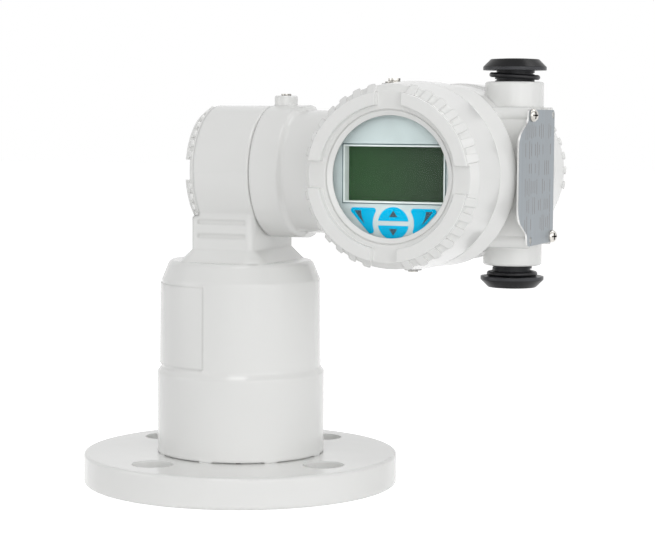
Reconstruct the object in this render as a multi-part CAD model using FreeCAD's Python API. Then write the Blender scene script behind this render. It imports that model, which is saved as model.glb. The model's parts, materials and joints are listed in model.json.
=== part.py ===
import FreeCAD, Part
import math
import os

os.makedirs("parts", exist_ok=True)
V = FreeCAD.Vector

# All sizes are in millimetres and angles in degrees.
# The origin is the centre of the flange's lower face, on the laser's axis.
# +Z is up, +X runs along the swivel axis to the head, and the display faces -Y.

# Clearances and common edges
seat_gap = 0.1  # slack round a piece that sits in a bore or pocket
thread_gap = 0.3  # radial room between a screwed piece and its bore
swivel_gap = 0.08  # radial running clearance of the head on its spigot
seam_gap = 0.3  # open seam under a cover or cap that is screwed home
hole_reserve = 1.0  # depth of a blind hole past the tip of its screw
root = 1.0  # depth to which a fused form runs into its carrier
cast_edge = 1.0  # round on the edges of castings
fine_edge = 0.5  # round on the edges of turned and moulded pieces
seal_side = 2.0  # side of a square-cut sealing ring

# Process flange
flange_diameter = 165.0
flange_thickness = 16.0
flange_edge = 1.6
bolt_circle = 123.0
bolt_hole = 20.8
bolt_count = 4
bolt_turn = 22.8  # the bolt holes straddle a line turned this far from the front
register_height = 6.0  # ring on the flange that centres the sensor housing

# Process window in the flange
port_radius = 26.0
window_land = 5.0
window_thickness = 6.0
window_seal_thickness = 1.5
window_ring_height = 2.5

# Sensor housing, a turned casting that stands on the flange
base_radius = 43.85
base_height = 42.7
base_bevel_height = 2.6
base_bevel_width = 1.85
body_height = 46.0
body_draft = 0.5
shoulder_bevel_height = 8.4
shoulder_bevel_width = 3.4
shoulder_edge = 1.6
housing_wall = 8.35
cavity_roof = 7.0  # thickness of the casting under the shoulder
cavity_corner = 7.0
foot_count = 8
foot_width = 7.0
foot_height = 0.6
foot_depth = 1.8
foot_turn = 22.5  # a foot's angle from the bolt hole beside it
pad_rise = 0.7  # raised field on the body's left side
pad_start = -3.0
pad_end = -103.0
pad_margin = 2.0

# Screws between flange and sensor housing
flange_screw_count = 4
flange_screw_radius = 2.5
flange_screw_depth = 12.0
flange_screw_head_radius = 4.25
flange_screw_head_height = 5.0

# Neck and elbow
neck_left = 17.0
neck_right = 18.6
neck_half_depth = 26.4
neck_corner = 3.6
neck_arch = 4.8  # round where the neck's flat sides run out under the elbow
neck_wall = 5.0
flare_height = 6.4
flare_width = 6.4
neck_groove_width = 2.0
neck_groove_depth = 0.7
neck_groove_heights = (6.1, 13.3)  # above the top of the flare
neck_groove_margin = 4.5
neck_height = 40.3  # from the top of the flare up to the swivel axis
elbow_radius = 33.8
elbow_left = 11.8
elbow_right = 18.8
elbow_wall = 5.2
elbow_shoulder = 5.6  # step from the end cap's thread down to the bore

# End cap on the elbow's left end
cap_rim_inset = 0.3
cap_plate = 2.8
cap_bevel = 2.0
cap_arc_height = 2.7
cap_arc_inset = 2.2
cap_arc_width = 10.6
cap_slot = 10.2
cap_thread_length = 9.0
cap_skirt_wall = 4.6
cap_rib_width = 3.4
cap_rib_rise = 1.0
cap_turn = 1.5  # where the thread stops the cap, from square

# Spigot of the swivel and the collar that turns on it
collar_radius = 34.2
collar_wall = 6.2
collar_length = 15.2
collar_edge = 0.7
collar_gap = 0.6  # open seam between elbow and collar
collar_fillet = 2.0
spigot_length = 16.0
spigot_wall = 6.4
stub_step = 2.6  # from the collar down to the stub behind it
lock_groove_width = 6.4
lock_groove_depth = 1.8
gusset_half_width = 18.0  # gussets above and below the stub, widest at the collar
gusset_waist = 11.0
gusset_waist_reach = 2.0
gusset_tip = 5.5
gusset_length = 5.0
gusset_slope = 2.6
gusset_fillet = 5.0
lock_boss_radius = 6.0
lock_boss_height = 39.0  # above the swivel axis
lock_screw_radius = 2.0
lock_screw_head_radius = 2.6
lock_screw_head_height = 0.9

# Head: a barrel whose axis crosses the swivel axis
head_offset = 106.0
barrel_radius = 46.0
barrel_wall = 7.5
barrel_edge = 0.6
waist_depth = 1.0
waist_ramp = 2.0
front_seam = 33.6
rear_seam = 61.0
front_ring = 27.0
rear_ring = 19.0
partition_front = 8.0
partition_thickness = 6.0
wiring_hole = 7.0

# Fairing on the right of the front ring
fairing_rise = 4.0
fairing_half_angle = 50.0
fairing_length = 14.0
fairing_tail = 6.0
fairing_crest_round = 3.0

# Castellated screw covers
cover_rim_length = 26.4
cover_draft = 2.0  # the rim narrows by this much from the seam to the bevel
cover_bevel = 3.2
cover_face = 30.4
cover_edge = 0.6
arc_height = 4.3
arc_inset = 0.2
arc_width = 6.2
arc_slot = 13.0
ribs_per_quarter = 7
rib_pitch = 10.3
rib_width = 4.2
rib_rise = 1.2
rib_corner = 1.3
cover_thread_wall = 5.0  # wall of the barrel outside the cover's thread
cover_thread_length = 13.0
cover_skirt_wall = 4.5
cover_roof = 4.0
front_cover_turn = -1.2  # where the threads stop the covers, from square
rear_cover_turn = 24.0

# Window of the front cover
sight_margin = 2.2
sight_groove = 0.5  # width and depth of the ring groove round the window
sight_bevel = 2.5
sight_bevel_depth = 1.4
sight_lip = 2.2
glass_land = 4.2
glass_thickness = 5.0
cement_thickness = 0.5

# Display module
fascia_gap = 0.6
fascia_clear = 1.1
fascia_thickness = 1.5
lcd_margin = 4.9  # from the screen's corners to the fascia's rim
lcd_height = 28.6
lcd_wall = 1.2
lcd_recess = 5.4
lcd_thickness = 2.4
lcd_bezel_rise = 0.15
key_inlay = 0.4
key_proud = 0.15
key_disc_inset = 13.1  # from the fascia's rim to the centre of the arrow keys
key_disc_radius = 7.8
key_disc_gap = 1.4  # from the arrow keys up to the screen
key_split = 2.2
soft_key_gap = 1.9  # below the screen
soft_key_clear = 2.7  # round the disc of arrow keys
soft_key_width = 15.8  # a key's sharp outer corner beyond the disc
soft_key_tip = 4.4  # its sharp lower corner beyond the disc
soft_key_height = 12.4
soft_key_corner = 1.4
display_depth = 15.0
display_wall = 1.6
display_ledge = 2.0
display_board_thickness = 1.6

# Electronics in the front compartment
board_thickness = 1.6
module_clear = 0.6
module_wall = 2.4
module_length = 25.0
module_floor = 3.0
module_screw_count = 3
module_post_radius = 2.8
module_post_inset = 8.4
module_screw_radius = 1.6
module_screw_head = 3.0
module_screw_head_height = 2.4
module_screw_depth = 4.0

# Terminals in the rear compartment
terminal_width = 48.0
terminal_height = 20.0
terminal_depth = 16.0
terminal_step = 7.0
terminal_count = 4
terminal_pitch = 10.5
terminal_screw_radius = 2.6
terminal_screw_rise = 1.6
terminal_slot_width = 1.0
terminal_slot_depth = 0.9
feedthrough_radius = 8.0
feedthrough_rim = 10.0
feedthrough_rim_height = 2.0
feedthrough_inset = 16.5  # from the bore's wall
inner_ground_head = 4.0
inner_ground_height = 3.2
inner_ground_angle = 115.0
inner_ground_inset = 8.5

# Conduit entries: one upright tube through the rear compartment
conduit_inset = 12.0  # axis of the tube inside the barrel's round
conduit_back = 27.0
conduit_boss_radius = 14.9
conduit_step = 0.7
conduit_rise = 0.5  # faces of the bosses beyond the barrel's round
conduit_boss_height = 12.6
conduit_wall = 4.3
conduit_edge = 1.2

# Screw plugs of the conduit entries
plug_thread_length = 12.0
plug_relief = 0.6  # stem under the brim, less than the entry's bore
plug_overhang = 1.2
plug_brim_height = 1.7
plug_crown_height = 3.9
plug_gap = 5.8  # the plugs stand this far off their bosses
plug_seal_section = 1.25
plug_seal_slack = 0.4
upper_seal_tilt = 3.5

# Rating plate on the right side
plate_stand = 2.1  # from the conduit bosses to the back of the plate
plate_thickness = 1.0
plate_drop = 1.2  # centre of the plate below the swivel axis
plate_wing = 23.5
plate_wing_half = 20.0
plate_wing_round = 9.0
plate_shoulder_half = 28.0
plate_shoulder_round = 4.0
plate_corner = 2.5
plate_border = 2.6
plate_ear = 5.6
hole_half_height = 31.0
hole_front = -2.0
hole_rear = 35.8
plate_hole = 1.9
post_radius = 3.9
plate_screw_radius = 1.7
plate_screw_depth = 6.0
plate_screw_head = 3.0
plate_screw_head_height = 2.5
plate_screw_crown = 1.8

# Earth screw on the front ring
earth_x = -13.0  # from the barrel's axis
earth_back = 22.0
earth_pad_radius = 6.0
earth_pad_drop = 1.0  # top of the pad below the barrel's crown
earth_pad_reach = 11.0
earth_clamp_thickness = 0.8
earth_clamp_radius = 4.6
earth_screw_radius = 1.9
earth_screw_head = 3.0
earth_screw_head_height = 1.6
earth_screw_depth = 3.6
earth_slot_width = 0.8
earth_slot_depth = 0.8

# Lock screws of the covers
cover_lock_inset = 5.4  # from the seam
cover_lock_radius = 2.4
cover_lock_boss = 4.4
cover_lock_proud = 0.8  # tip of a screw above its boss
cover_lock_length = 5.0
cover_lock_socket = 1.3
cover_lock_socket_depth = 2.0
front_lock_angle = -90.0  # from +X, about the barrel's axis
front_lock_rise = 1.4
rear_lock_angle = -38.0
rear_lock_rise = 5.3

# Optics inside the sensor housing
carrier_height = 22.0  # lower face above the flange
carrier_thickness = 8.0
lug_count = 3
lug_radius = 4.6
lug_inset = 3.9
lug_height = 14.0
carrier_screw_radius = 2.0
carrier_screw_head = 3.5
carrier_screw_head_height = 4.0
carrier_screw_depth = 9.0
transmit_x = -18.0
transmit_radius = 7.5
receive_x = 9.0
receive_radius = 15.0
lens_edge = 2.5
lens_crown = 2.0
lens_ledge = 1.5
laser_radius = 9.2
laser_length = 30.0
laser_recess = 2.0
laser_cap_radius = 5.0
laser_cap_length = 7.0
cone_wall = 1.8
cone_length = 34.0
cone_tip_radius = 7.0
detector_radius = 6.0
detector_rim = 1.0
detector_height = 4.0
board_clear = 4.5
board_post_angles = (35.0, 145.0, 270.0)
board_post_inset = 4.5
board_post_radius = 2.6
board_screw_radius = 1.3
board_screw_depth = 4.0
board_screw_head = 2.8
board_screw_head_height = 1.8

# Rotations from a piece's own axis (local Z) to its place in the assembly
upright = FreeCAD.Rotation()
inverted = FreeCAD.Rotation(V(1, 0, 0), 180)
forward = FreeCAD.Rotation(V(1, 0, 0), 90)
rearward = FreeCAD.Rotation(V(1, 0, 0), -90)
rightward = FreeCAD.Rotation(V(0, 1, 0), 90)
leftward = FreeCAD.Rotation(V(0, 1, 0), -90)

# Places and radii that several pieces share
window_radius = port_radius + window_land
port_floor = flange_thickness - window_ring_height - window_thickness - window_seal_thickness
cavity_radius = base_radius - housing_wall
register_radius = cavity_radius - seat_gap
register_seal_low = flange_thickness + (register_height - seal_side) / 2
flange_screw_circle = (cavity_radius + base_radius) / 2
body_low = flange_thickness + base_height + base_bevel_height
body_radius = base_radius - base_bevel_width
body_high = body_low + body_height
shoulder_top = body_high + shoulder_bevel_height + shoulder_edge
cavity_top = shoulder_top - cavity_roof
flare_top = shoulder_top + flare_height
swivel_height = flare_top + neck_height
swivel_centre = V(0, 0, swivel_height)
head_centre = V(head_offset, 0, swivel_height)
conduit_x = barrel_radius - conduit_inset
conduit_top = barrel_radius + conduit_rise
conduit_centre = V(head_offset + conduit_x, conduit_back, swivel_height)
lug_circle = cavity_radius - lug_inset
carrier_low = flange_thickness + carrier_height
carrier_top = carrier_low + carrier_thickness
sensor_board_low = carrier_top + max(cone_length + detector_height, laser_length + laser_cap_length + root)
sensor_board_radius = cavity_radius - board_clear
board_post_circle = sensor_board_radius - board_post_inset
cap_thread_radius = elbow_radius - elbow_wall
cap_rim_radius = elbow_radius - cap_rim_inset
cap_top = seat_gap + cap_plate
cap_arc_outer = cap_rim_radius - cap_arc_inset
elbow_bore = cap_thread_radius - elbow_shoulder
spigot_radius = collar_radius - collar_wall - swivel_gap
spigot_bore = spigot_radius - spigot_wall
spigot_end = elbow_right + spigot_length
collar_start = elbow_right + collar_gap
collar_end = collar_start + collar_length
stub_radius = collar_radius - stub_step
lock_screw_x = collar_start + lock_boss_radius
lock_groove_low = lock_screw_x - lock_groove_width / 2
swivel_seal_low = (lock_groove_low + lock_groove_width + spigot_end - seal_side) / 2
bore_radius = barrel_radius - barrel_wall
partition_back = partition_front + partition_thickness
cover_thread_radius = barrel_radius - cover_thread_wall
cover_cavity = cover_thread_radius - cover_skirt_wall
cover_rim_radius = barrel_radius - cover_draft
cover_face_radius = cover_rim_radius - cover_bevel
arc_outer = cover_face_radius - arc_inset
sight_ring_radius = arc_outer - arc_width - sight_margin
sight_radius = sight_ring_radius - sight_groove - sight_bevel
glass_radius = sight_radius + glass_land
glass_seat = front_seam + cover_face - sight_lip
glass_back = glass_seat - glass_thickness
fascia_radius = cover_cavity - fascia_clear
fascia_back = glass_back - fascia_gap - fascia_thickness
lcd_half_height = lcd_height / 2
key_drop = fascia_radius - key_disc_inset
lcd_low = key_disc_radius + key_disc_gap - key_drop
lcd_centre = lcd_low + lcd_half_height
lcd_half_width = math.sqrt((fascia_radius - lcd_margin) ** 2 - (lcd_half_height + abs(lcd_centre)) ** 2)
display_back = fascia_back - display_depth
module_radius = bore_radius - module_clear
module_rim = module_length - partition_front
feedthrough_drop = bore_radius - feedthrough_inset
inner_ground_circle = bore_radius - inner_ground_inset
module_post_circle = fascia_radius - module_post_inset
conduit_bore = conduit_boss_radius - conduit_wall
plug_stem_radius = conduit_bore - plug_relief
plug_brim_radius = conduit_boss_radius + plug_overhang
plug_seal_radius = plug_stem_radius + plug_seal_slack + plug_seal_section
plate_face = head_offset + conduit_x + conduit_boss_radius + plate_stand
earth_top = barrel_radius - earth_pad_drop
earth_centre = head_centre + V(earth_x, -earth_back, 0)
bar = 400.0  # longer than any cut needs to be


def on_plane(a, b):
    return V(a, b, 0)


def in_section(a, b):
    return V(a, 0, b)


def on_side(a, b):
    return V(0, a, b)


def outline(corners, plane):
    # Closed wire through the corners; a third value rounds a corner as far as its sides allow.
    count = len(corners)
    points = [plane(corner[0], corner[1]) for corner in corners]
    joints = []
    for i in range(count):
        radius = corners[i][2] if len(corners[i]) > 2 else 0
        if radius == 0:
            joints.append((points[i], None, points[i]))
            continue
        back = points[i - 1] - points[i]
        ahead = points[(i + 1) % count] - points[i]
        half = back.getAngle(ahead) / 2
        reach = min(radius / math.tan(half), 0.45 * back.Length, 0.45 * ahead.Length)
        radius = reach * math.tan(half)
        back.normalize()
        ahead.normalize()
        middle = back + ahead
        middle.normalize()
        crown = points[i] + middle * (radius / math.sin(half) - radius)
        joints.append((points[i] + back * reach, crown, points[i] + ahead * reach))
    edges = []
    for i in range(count):
        start, crown, stop = joints[i]
        if crown:
            edges.append(Part.Arc(start, crown, stop).toShape())
        edges.append(Part.makeLine(stop, joints[(i + 1) % count][0]))
    return Part.Wire(edges)


def turned(corners, sweep=360, start=0):
    # Solid of revolution about local Z from (radius, height) corners.
    face = Part.Face(outline(corners, in_section))
    solid = face.revolve(V(0, 0, 0), V(0, 0, 1), sweep)
    solid.rotate(V(0, 0, 0), V(0, 0, 1), start)
    return solid


def prism(corners, low, high):
    face = Part.Face(outline(corners, on_plane))
    solid = face.extrude(V(0, 0, high - low))
    solid.translate(V(0, 0, low))
    return solid


def rod(radius, low, high, x=0, y=0):
    return Part.makeCylinder(radius, high - low, V(x, y, low))


def tube(inner, outer, low, high):
    return rod(outer, low, high).cut(rod(inner, low, high))


def slab(x0, x1, y0, y1, z0, z1):
    return Part.makeBox(x1 - x0, y1 - y0, z1 - z0, V(x0, y0, z0))


def seal_ring(radius, low):
    # Square-cut ring whose outside has the given radius.
    return tube(radius - seal_side, radius - seat_gap, low, low + seal_side)


def seal_groove(radius, low):
    return tube(radius - seal_side - seat_gap, radius + root, low - seat_gap, low + seal_side + seat_gap)


def hexagon(radius):
    angles = [math.radians(60 * i) for i in range(6)]
    return [(radius * math.cos(angle), radius * math.sin(angle)) for angle in angles]


def placed(shape, rotation, origin):
    moved = shape.copy()
    moved.Placement = FreeCAD.Placement(origin, rotation).multiply(moved.Placement)
    return moved


def radial(angle):
    # Rotation that turns local Z to an angle from +X, about the barrel's axis.
    return FreeCAD.Rotation(V(0, 1, 0), 90 - angle)


def around(shape, angles):
    copies = []
    for angle in angles:
        copy = shape.copy()
        copy.rotate(V(0, 0, 0), V(0, 0, 1), angle)
        copies.append(copy)
    return copies


def even(count, start=0):
    return [start + 360 * i / count for i in range(count)]


def joined(body, pieces):
    return body.fuse(pieces).removeSplitter()


def save(node, shape):
    shape.exportStep("parts/" + node + ".step")


def fastener(shank, depth, head, height, socket=0):
    # Screw that enters along local -Z from its seat at z = 0; a drive socket is half its head deep.
    screw = rod(shank, -depth, 0).fuse(rod(head, 0, height)).removeSplitter()
    if socket:
        screw = screw.cut(rod(socket, height / 2, height))
    return screw


# Process flange and its window

def flange_screw_places():
    return even(flange_screw_count, bolt_turn)


def make_flange():
    edge = flange_diameter / 2
    seat = window_radius + seat_gap
    top = flange_thickness + register_height
    plate = turned([
        (port_radius, 0), (edge, 0, flange_edge), (edge, flange_thickness, flange_edge),
        (register_radius, flange_thickness), (register_radius, top, fine_edge), (seat, top),
        (seat, port_floor), (port_radius, port_floor),
    ])
    bolt = rod(bolt_hole / 2, 0, flange_thickness, bolt_circle / 2, 0)
    bolts = around(bolt, even(bolt_count, bolt_turn + 180 / bolt_count))
    head_room = flange_screw_head_radius + seat_gap
    head = rod(head_room, 0, flange_screw_head_height + seat_gap, flange_screw_circle, 0)
    shank = rod(flange_screw_radius + seat_gap, 0, flange_thickness, flange_screw_circle, 0)
    screws = around(head.fuse(shank), flange_screw_places())
    return plate.cut(bolts + screws + [seal_groove(register_radius, register_seal_low)])


def make_flange_screws():
    seat = flange_screw_head_height + seat_gap
    length = flange_thickness - seat + flange_screw_depth
    screw = fastener(flange_screw_radius, length, flange_screw_head_radius, flange_screw_head_height,
                     flange_screw_radius)
    screw = placed(screw, inverted, V(flange_screw_circle, 0, seat))
    return Part.makeCompound(around(screw, flange_screw_places()))


def make_window_stack():
    glass_low = port_floor + window_seal_thickness
    glass_high = glass_low + window_thickness
    save("window_seal", tube(port_radius, window_radius, port_floor, glass_low))
    save("process_window", rod(window_radius, glass_low, glass_high))
    save("window_ring", tube(port_radius, window_radius, glass_high, flange_thickness))
    save("housing_seal", seal_ring(register_radius, register_seal_low))


# Sensor housing: body, neck, elbow and spigot in one casting

def rounded_plan(grow, height):
    radius = neck_corner + grow
    left = -neck_left - grow
    right = neck_right + grow
    half = neck_half_depth + grow
    corners = [(left, -half, radius), (right, -half, radius), (right, half, radius), (left, half, radius)]
    plan = outline(corners, on_plane)
    plan.translate(V(0, 0, height))
    return plan


def neck_flare():
    return Part.makeLoft([rounded_plan(flare_width, shoulder_top), rounded_plan(0, flare_top)], True, True)


def neck_column():
    column = Part.Face(rounded_plan(0, flare_top)).extrude(V(0, 0, swivel_height - flare_top))
    # The flat sides end where they meet the round of the elbow, with rounded upper corners.
    high = swivel_height - math.sqrt(elbow_radius ** 2 - neck_half_depth ** 2) + root
    arch = prism([
        (-neck_left, flare_top), (neck_right, flare_top), (neck_right, high, neck_arch),
        (-neck_left, high, neck_arch),
    ], -neck_half_depth, neck_half_depth)
    column = column.common(placed(arch, forward, V(0, 0, 0)))
    grooves = []
    for height in neck_groove_heights:
        low = flare_top + height
        grooves.append(slab(-neck_left + neck_groove_margin, neck_right - neck_groove_margin,
                            -neck_half_depth, -neck_half_depth + neck_groove_depth,
                            low, low + neck_groove_width))
    return column.cut(grooves)


def body_turning():
    top_radius = body_radius - body_draft
    bevel_radius = top_radius - shoulder_bevel_width
    bevel_high = body_high + shoulder_bevel_height
    return turned([
        (0, flange_thickness), (base_radius, flange_thickness),
        (base_radius, flange_thickness + base_height, cast_edge), (body_radius, body_low, cast_edge),
        (top_radius, body_high, cast_edge), (bevel_radius, bevel_high, cast_edge),
        (bevel_radius - shoulder_edge, shoulder_top, cast_edge), (0, shoulder_top),
    ])


def body_pad():
    low = body_low + pad_margin
    high = body_high - pad_margin
    inner = cavity_radius + root
    outer = body_radius + pad_rise
    drop = body_draft * (high - low) / body_height
    corners = [(inner, low), (outer, low), (outer - drop, high), (inner, high)]
    return turned(corners, pad_start - pad_end, pad_end - 90)


def foot_notches():
    # Shallow slots under the rim leave the casting standing on short feet.
    high = flange_thickness + foot_height
    notch = tube(base_radius - foot_depth, base_radius + root, flange_thickness, high)
    foot = slab(cavity_radius, base_radius + root, -foot_width / 2, foot_width / 2, flange_thickness, high)
    return notch.cut(around(foot, even(foot_count, bolt_turn + foot_turn)))


def lug_angles():
    return even(lug_count, 90)


def swivel_turning():
    # Elbow and spigot, turned about the swivel axis.
    elbow = turned([
        (0, -elbow_left), (elbow_radius, -elbow_left), (elbow_radius, elbow_right, cast_edge),
        (0, elbow_right),
    ])
    spigot = turned([(0, 0), (spigot_radius, 0), (spigot_radius, spigot_end, cast_edge), (0, spigot_end)])
    lock_groove = tube(spigot_radius - lock_groove_depth, spigot_radius + root,
                       lock_groove_low, lock_groove_low + lock_groove_width)
    return elbow.fuse(spigot).cut([lock_groove, seal_groove(spigot_radius, swivel_seal_low)])


def make_sensor_housing():
    forms = [body_pad(), neck_flare(), neck_column(), placed(swivel_turning(), rightward, swivel_centre)]
    casting = joined(body_turning(), forms)
    cavity = turned([
        (0, flange_thickness), (cavity_radius, flange_thickness), (cavity_radius, cavity_top, cavity_corner),
        (0, cavity_top),
    ])
    lug = rod(lug_radius, carrier_top, carrier_top + lug_height, lug_circle, 0)
    cavity = cavity.cut(around(lug, lug_angles()))
    passage = slab(-neck_left + neck_wall, neck_right - neck_wall, -neck_half_depth + neck_wall,
                   neck_half_depth - neck_wall, cavity_top - cavity_corner, swivel_height)
    passage = passage.common(rod(cavity_radius - cavity_corner, 0, bar))
    bores = [
        rod(elbow_bore, -elbow_left, elbow_right), rod(spigot_bore, 0, spigot_end),
        rod(cap_thread_radius + thread_gap, -elbow_left, -elbow_left + cap_thread_length + hole_reserve),
    ]
    # Nothing of the casting stands in the way of the end cap, which needs room to turn.
    sweep = cap_rim_radius + cap_rib_rise + seam_gap
    scallop = placed(rod(sweep, 0, bar), leftward, V(-elbow_left, 0, swivel_height))
    cuts = [cavity, passage, foot_notches(), scallop]
    cuts += [placed(bore, rightward, swivel_centre) for bore in bores]
    tapped = rod(flange_screw_radius + seat_gap, flange_thickness,
                 flange_thickness + flange_screw_depth + hole_reserve, flange_screw_circle, 0)
    cuts += around(tapped, flange_screw_places())
    lug_hole = rod(carrier_screw_radius + seat_gap, carrier_top,
                   carrier_top + carrier_screw_depth + hole_reserve, lug_circle, 0)
    cuts += around(lug_hole, lug_angles())
    return casting.cut(cuts).removeSplitter()


def make_swivel_seal():
    return placed(seal_ring(spigot_radius, swivel_seal_low), rightward, swivel_centre)


# Optics behind the process window

def lens(radius, x):
    # Plano-convex glass, a rod trimmed by a sphere, crown down in its seat.
    rise = lens_edge + lens_crown
    ball = (radius ** 2 + lens_crown ** 2) / (2 * lens_crown)
    blank = rod(radius, 0, rise).common(Part.makeSphere(ball, V(0, 0, rise - ball)))
    return placed(blank, inverted, V(x, 0, carrier_top - lens_ledge))


def lens_seat(radius, x):
    pocket = rod(radius + seat_gap, carrier_low, carrier_top - lens_ledge, x, 0)
    return pocket.fuse(rod(radius - lens_ledge, carrier_low, carrier_top, x, 0))


def make_carrier():
    disc = rod(cavity_radius - seat_gap, carrier_low, carrier_top)
    holes = around(rod(carrier_screw_radius + seat_gap, 0, bar, lug_circle, 0), lug_angles())
    holes += around(rod(board_screw_radius + seat_gap, 0, bar, board_post_circle, 0), board_post_angles)
    seats = [lens_seat(transmit_radius, transmit_x), lens_seat(receive_radius, receive_x)]
    save("optics_carrier", disc.cut(holes + seats))
    screw = fastener(carrier_screw_radius, carrier_thickness + carrier_screw_depth, carrier_screw_head,
                     carrier_screw_head_height, carrier_screw_radius)
    screw = placed(screw, inverted, V(lug_circle, 0, carrier_low))
    save("carrier_screws", Part.makeCompound(around(screw, lug_angles())))
    save("transmit_lens", lens(transmit_radius, transmit_x))
    save("receive_lens", lens(receive_radius, receive_x))


def make_laser():
    tip = laser_length + laser_cap_length
    barrel = turned([
        (0, laser_recess), (laser_cap_radius, laser_recess), (transmit_radius - lens_ledge, 0),
        (laser_radius, 0), (laser_radius, laser_length), (laser_cap_radius, laser_length),
        (laser_cap_radius, tip, cast_edge), (0, tip),
    ])
    save("laser_module", placed(barrel, upright, V(transmit_x, 0, carrier_top)))


def make_receiver():
    place = V(receive_x, 0, carrier_top)
    mouth = receive_radius - lens_ledge
    neck = cone_length - cone_wall
    cone = turned([
        (mouth, 0), (mouth + cone_wall, 0), (cone_tip_radius + cone_wall, cone_length),
        (detector_radius, cone_length), (detector_radius, neck), (cone_tip_radius, neck),
    ])
    save("receiver_cone", placed(cone, upright, place))
    board = sensor_board_low - carrier_top
    can = detector_radius - seat_gap
    rim = detector_radius + detector_rim
    detector = turned([
        (0, neck), (can, neck), (can, cone_length), (rim, cone_length), (rim, board), (0, board),
    ])
    save("photodetector", placed(detector, upright, place))


def make_sensor_board():
    low = sensor_board_low
    hole = rod(board_screw_radius + seat_gap, 0, bar, board_post_circle, 0)
    board = rod(sensor_board_radius, low, low + board_thickness)
    save("sensor_board", board.cut(around(hole, board_post_angles)))
    post = rod(board_post_radius, carrier_top, low, board_post_circle, 0)
    pin = rod(board_screw_radius, carrier_low + root, carrier_top, board_post_circle, 0)
    depth = board_screw_depth + hole_reserve
    bore = rod(board_screw_radius + seat_gap, low - depth, low, board_post_circle, 0)
    save("board_posts", Part.makeCompound(around(post.fuse(pin).cut(bore), board_post_angles)))
    screw = fastener(board_screw_radius, board_thickness + board_screw_depth, board_screw_head,
                     board_screw_head_height)
    screw = placed(screw, upright, V(board_post_circle, 0, low + board_thickness))
    save("board_screws", Part.makeCompound(around(screw, board_post_angles)))


# Castellated covers and end cap

def quarter_angles():
    first = 45 - rib_pitch * (ribs_per_quarter - 1) / 2
    return [90 * quarter + first + rib_pitch * i for quarter in range(4) for i in range(ribs_per_quarter)]


def raised_arcs(inner, outer, low, high, slot):
    # A ring cut across into four arcs, which a bar can be laid between to turn the cover.
    crown = turned([(inner, low), (outer, low), (outer, high, fine_edge), (inner, high, fine_edge)])
    half = slot / 2
    return crown.cut([slab(-bar, bar, -half, half, low, high), slab(-half, half, -bar, bar, low, high)])


def grip_ribs(rim, face, inner, width, rise):
    # Low pads laid up a bevel, from its rim (radius, height) past its face edge to an inner radius.
    along = in_section(face[0] - rim[0], face[1] - rim[1])
    along.normalize()
    outward = in_section(along.z, -along.x)
    start = in_section(*rim)
    length = (rim[0] - inner) / -along.x
    half = width / 2
    plan = outline(
        [(0, -half, rib_corner), (length, -half), (length, half), (0, half, rib_corner)],
        lambda u, v: start + along * u + V(0, v, 0) - outward * root,
    )
    pad = Part.Face(plan).extrude(outward * (root + rise))
    return around(pad, quarter_angles())


def sight_profile():
    # Bevelled window opening with a ring groove round it and a stepped seat for the glass behind.
    ring = sight_ring_radius - sight_groove
    groove = cover_face - sight_groove
    bore = glass_radius + cement_thickness + seat_gap
    seat = cover_face - sight_lip
    back = seat - glass_thickness
    return [
        (sight_ring_radius, cover_face), (sight_ring_radius, groove), (ring, groove), (ring, cover_face),
        (sight_radius, cover_face - sight_bevel_depth), (sight_radius, seat), (bore, seat), (bore, back),
        (cover_cavity, back),
    ]


def cover_shell(inside):
    # Built round local Z with the seam at z = 0; the skirt screws down into the barrel.
    shell = turned([
        (cover_cavity, -cover_thread_length), (cover_thread_radius, -cover_thread_length, fine_edge),
        (cover_thread_radius, seam_gap), (barrel_radius, seam_gap, barrel_edge),
        (cover_rim_radius, cover_rim_length, cast_edge), (cover_face_radius, cover_face, cover_edge),
    ] + inside)
    shell = shell.cut(seal_groove(cover_thread_radius, cover_seal_low()))
    arcs = raised_arcs(arc_outer - arc_width, arc_outer, cover_face - root, cover_face + arc_height, arc_slot)
    rim = (cover_rim_radius, cover_rim_length)
    ribs = grip_ribs(rim, (cover_face_radius, cover_face), arc_outer - root, rib_width, rib_rise)
    return joined(shell, [arcs] + ribs)


def cover_seal_low():
    return seam_gap - seal_side - seat_gap


def make_covers():
    front = head_centre + V(0, -front_seam, 0)
    rear = head_centre + V(0, rear_seam, 0)
    ring = seal_ring(cover_thread_radius, cover_seal_low())
    sighted = around(cover_shell(sight_profile()), [front_cover_turn])[0]
    save("front_cover", placed(sighted, forward, front))
    save("front_cover_seal", placed(ring, forward, front))
    roof = cover_face - cover_roof
    blind = cover_shell([(0, cover_face), (0, roof), (cover_cavity, roof, cover_roof)])
    blind = around(blind, [rear_cover_turn])[0]
    save("rear_cover", placed(blind, rearward, rear))
    save("rear_cover_seal", placed(ring, rearward, rear))
    glass = rod(glass_radius - seat_gap, glass_back, glass_seat)
    save("front_window", placed(glass, forward, head_centre))
    bead = tube(glass_radius, glass_radius + cement_thickness, glass_back, glass_seat)
    save("window_cement", placed(bead, forward, head_centre))


def cap_shell():
    # Local Z points away from the elbow and z = 0 is the elbow's end face.
    inner = cap_thread_radius - cap_skirt_wall
    rim = (cap_rim_radius, cap_top - cap_bevel)
    face = (cap_rim_radius - cap_bevel, cap_top)
    shell = turned([
        (0, -root), (inner, -root), (inner, -cap_thread_length),
        (cap_thread_radius, -cap_thread_length, fine_edge), (cap_thread_radius, seat_gap),
        (cap_rim_radius, seat_gap), rim, face, (0, cap_top),
    ])
    shell = shell.cut(seal_groove(cap_thread_radius, cap_seal_low()))
    arcs = raised_arcs(cap_arc_outer - cap_arc_width, cap_arc_outer, cap_top - root,
                       cap_top + cap_arc_height, cap_slot)
    ribs = grip_ribs(rim, face, cap_arc_outer - root, cap_rib_width, cap_rib_rise)
    return joined(shell, [arcs] + ribs)


def cap_seal_low():
    return -seal_side


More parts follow.
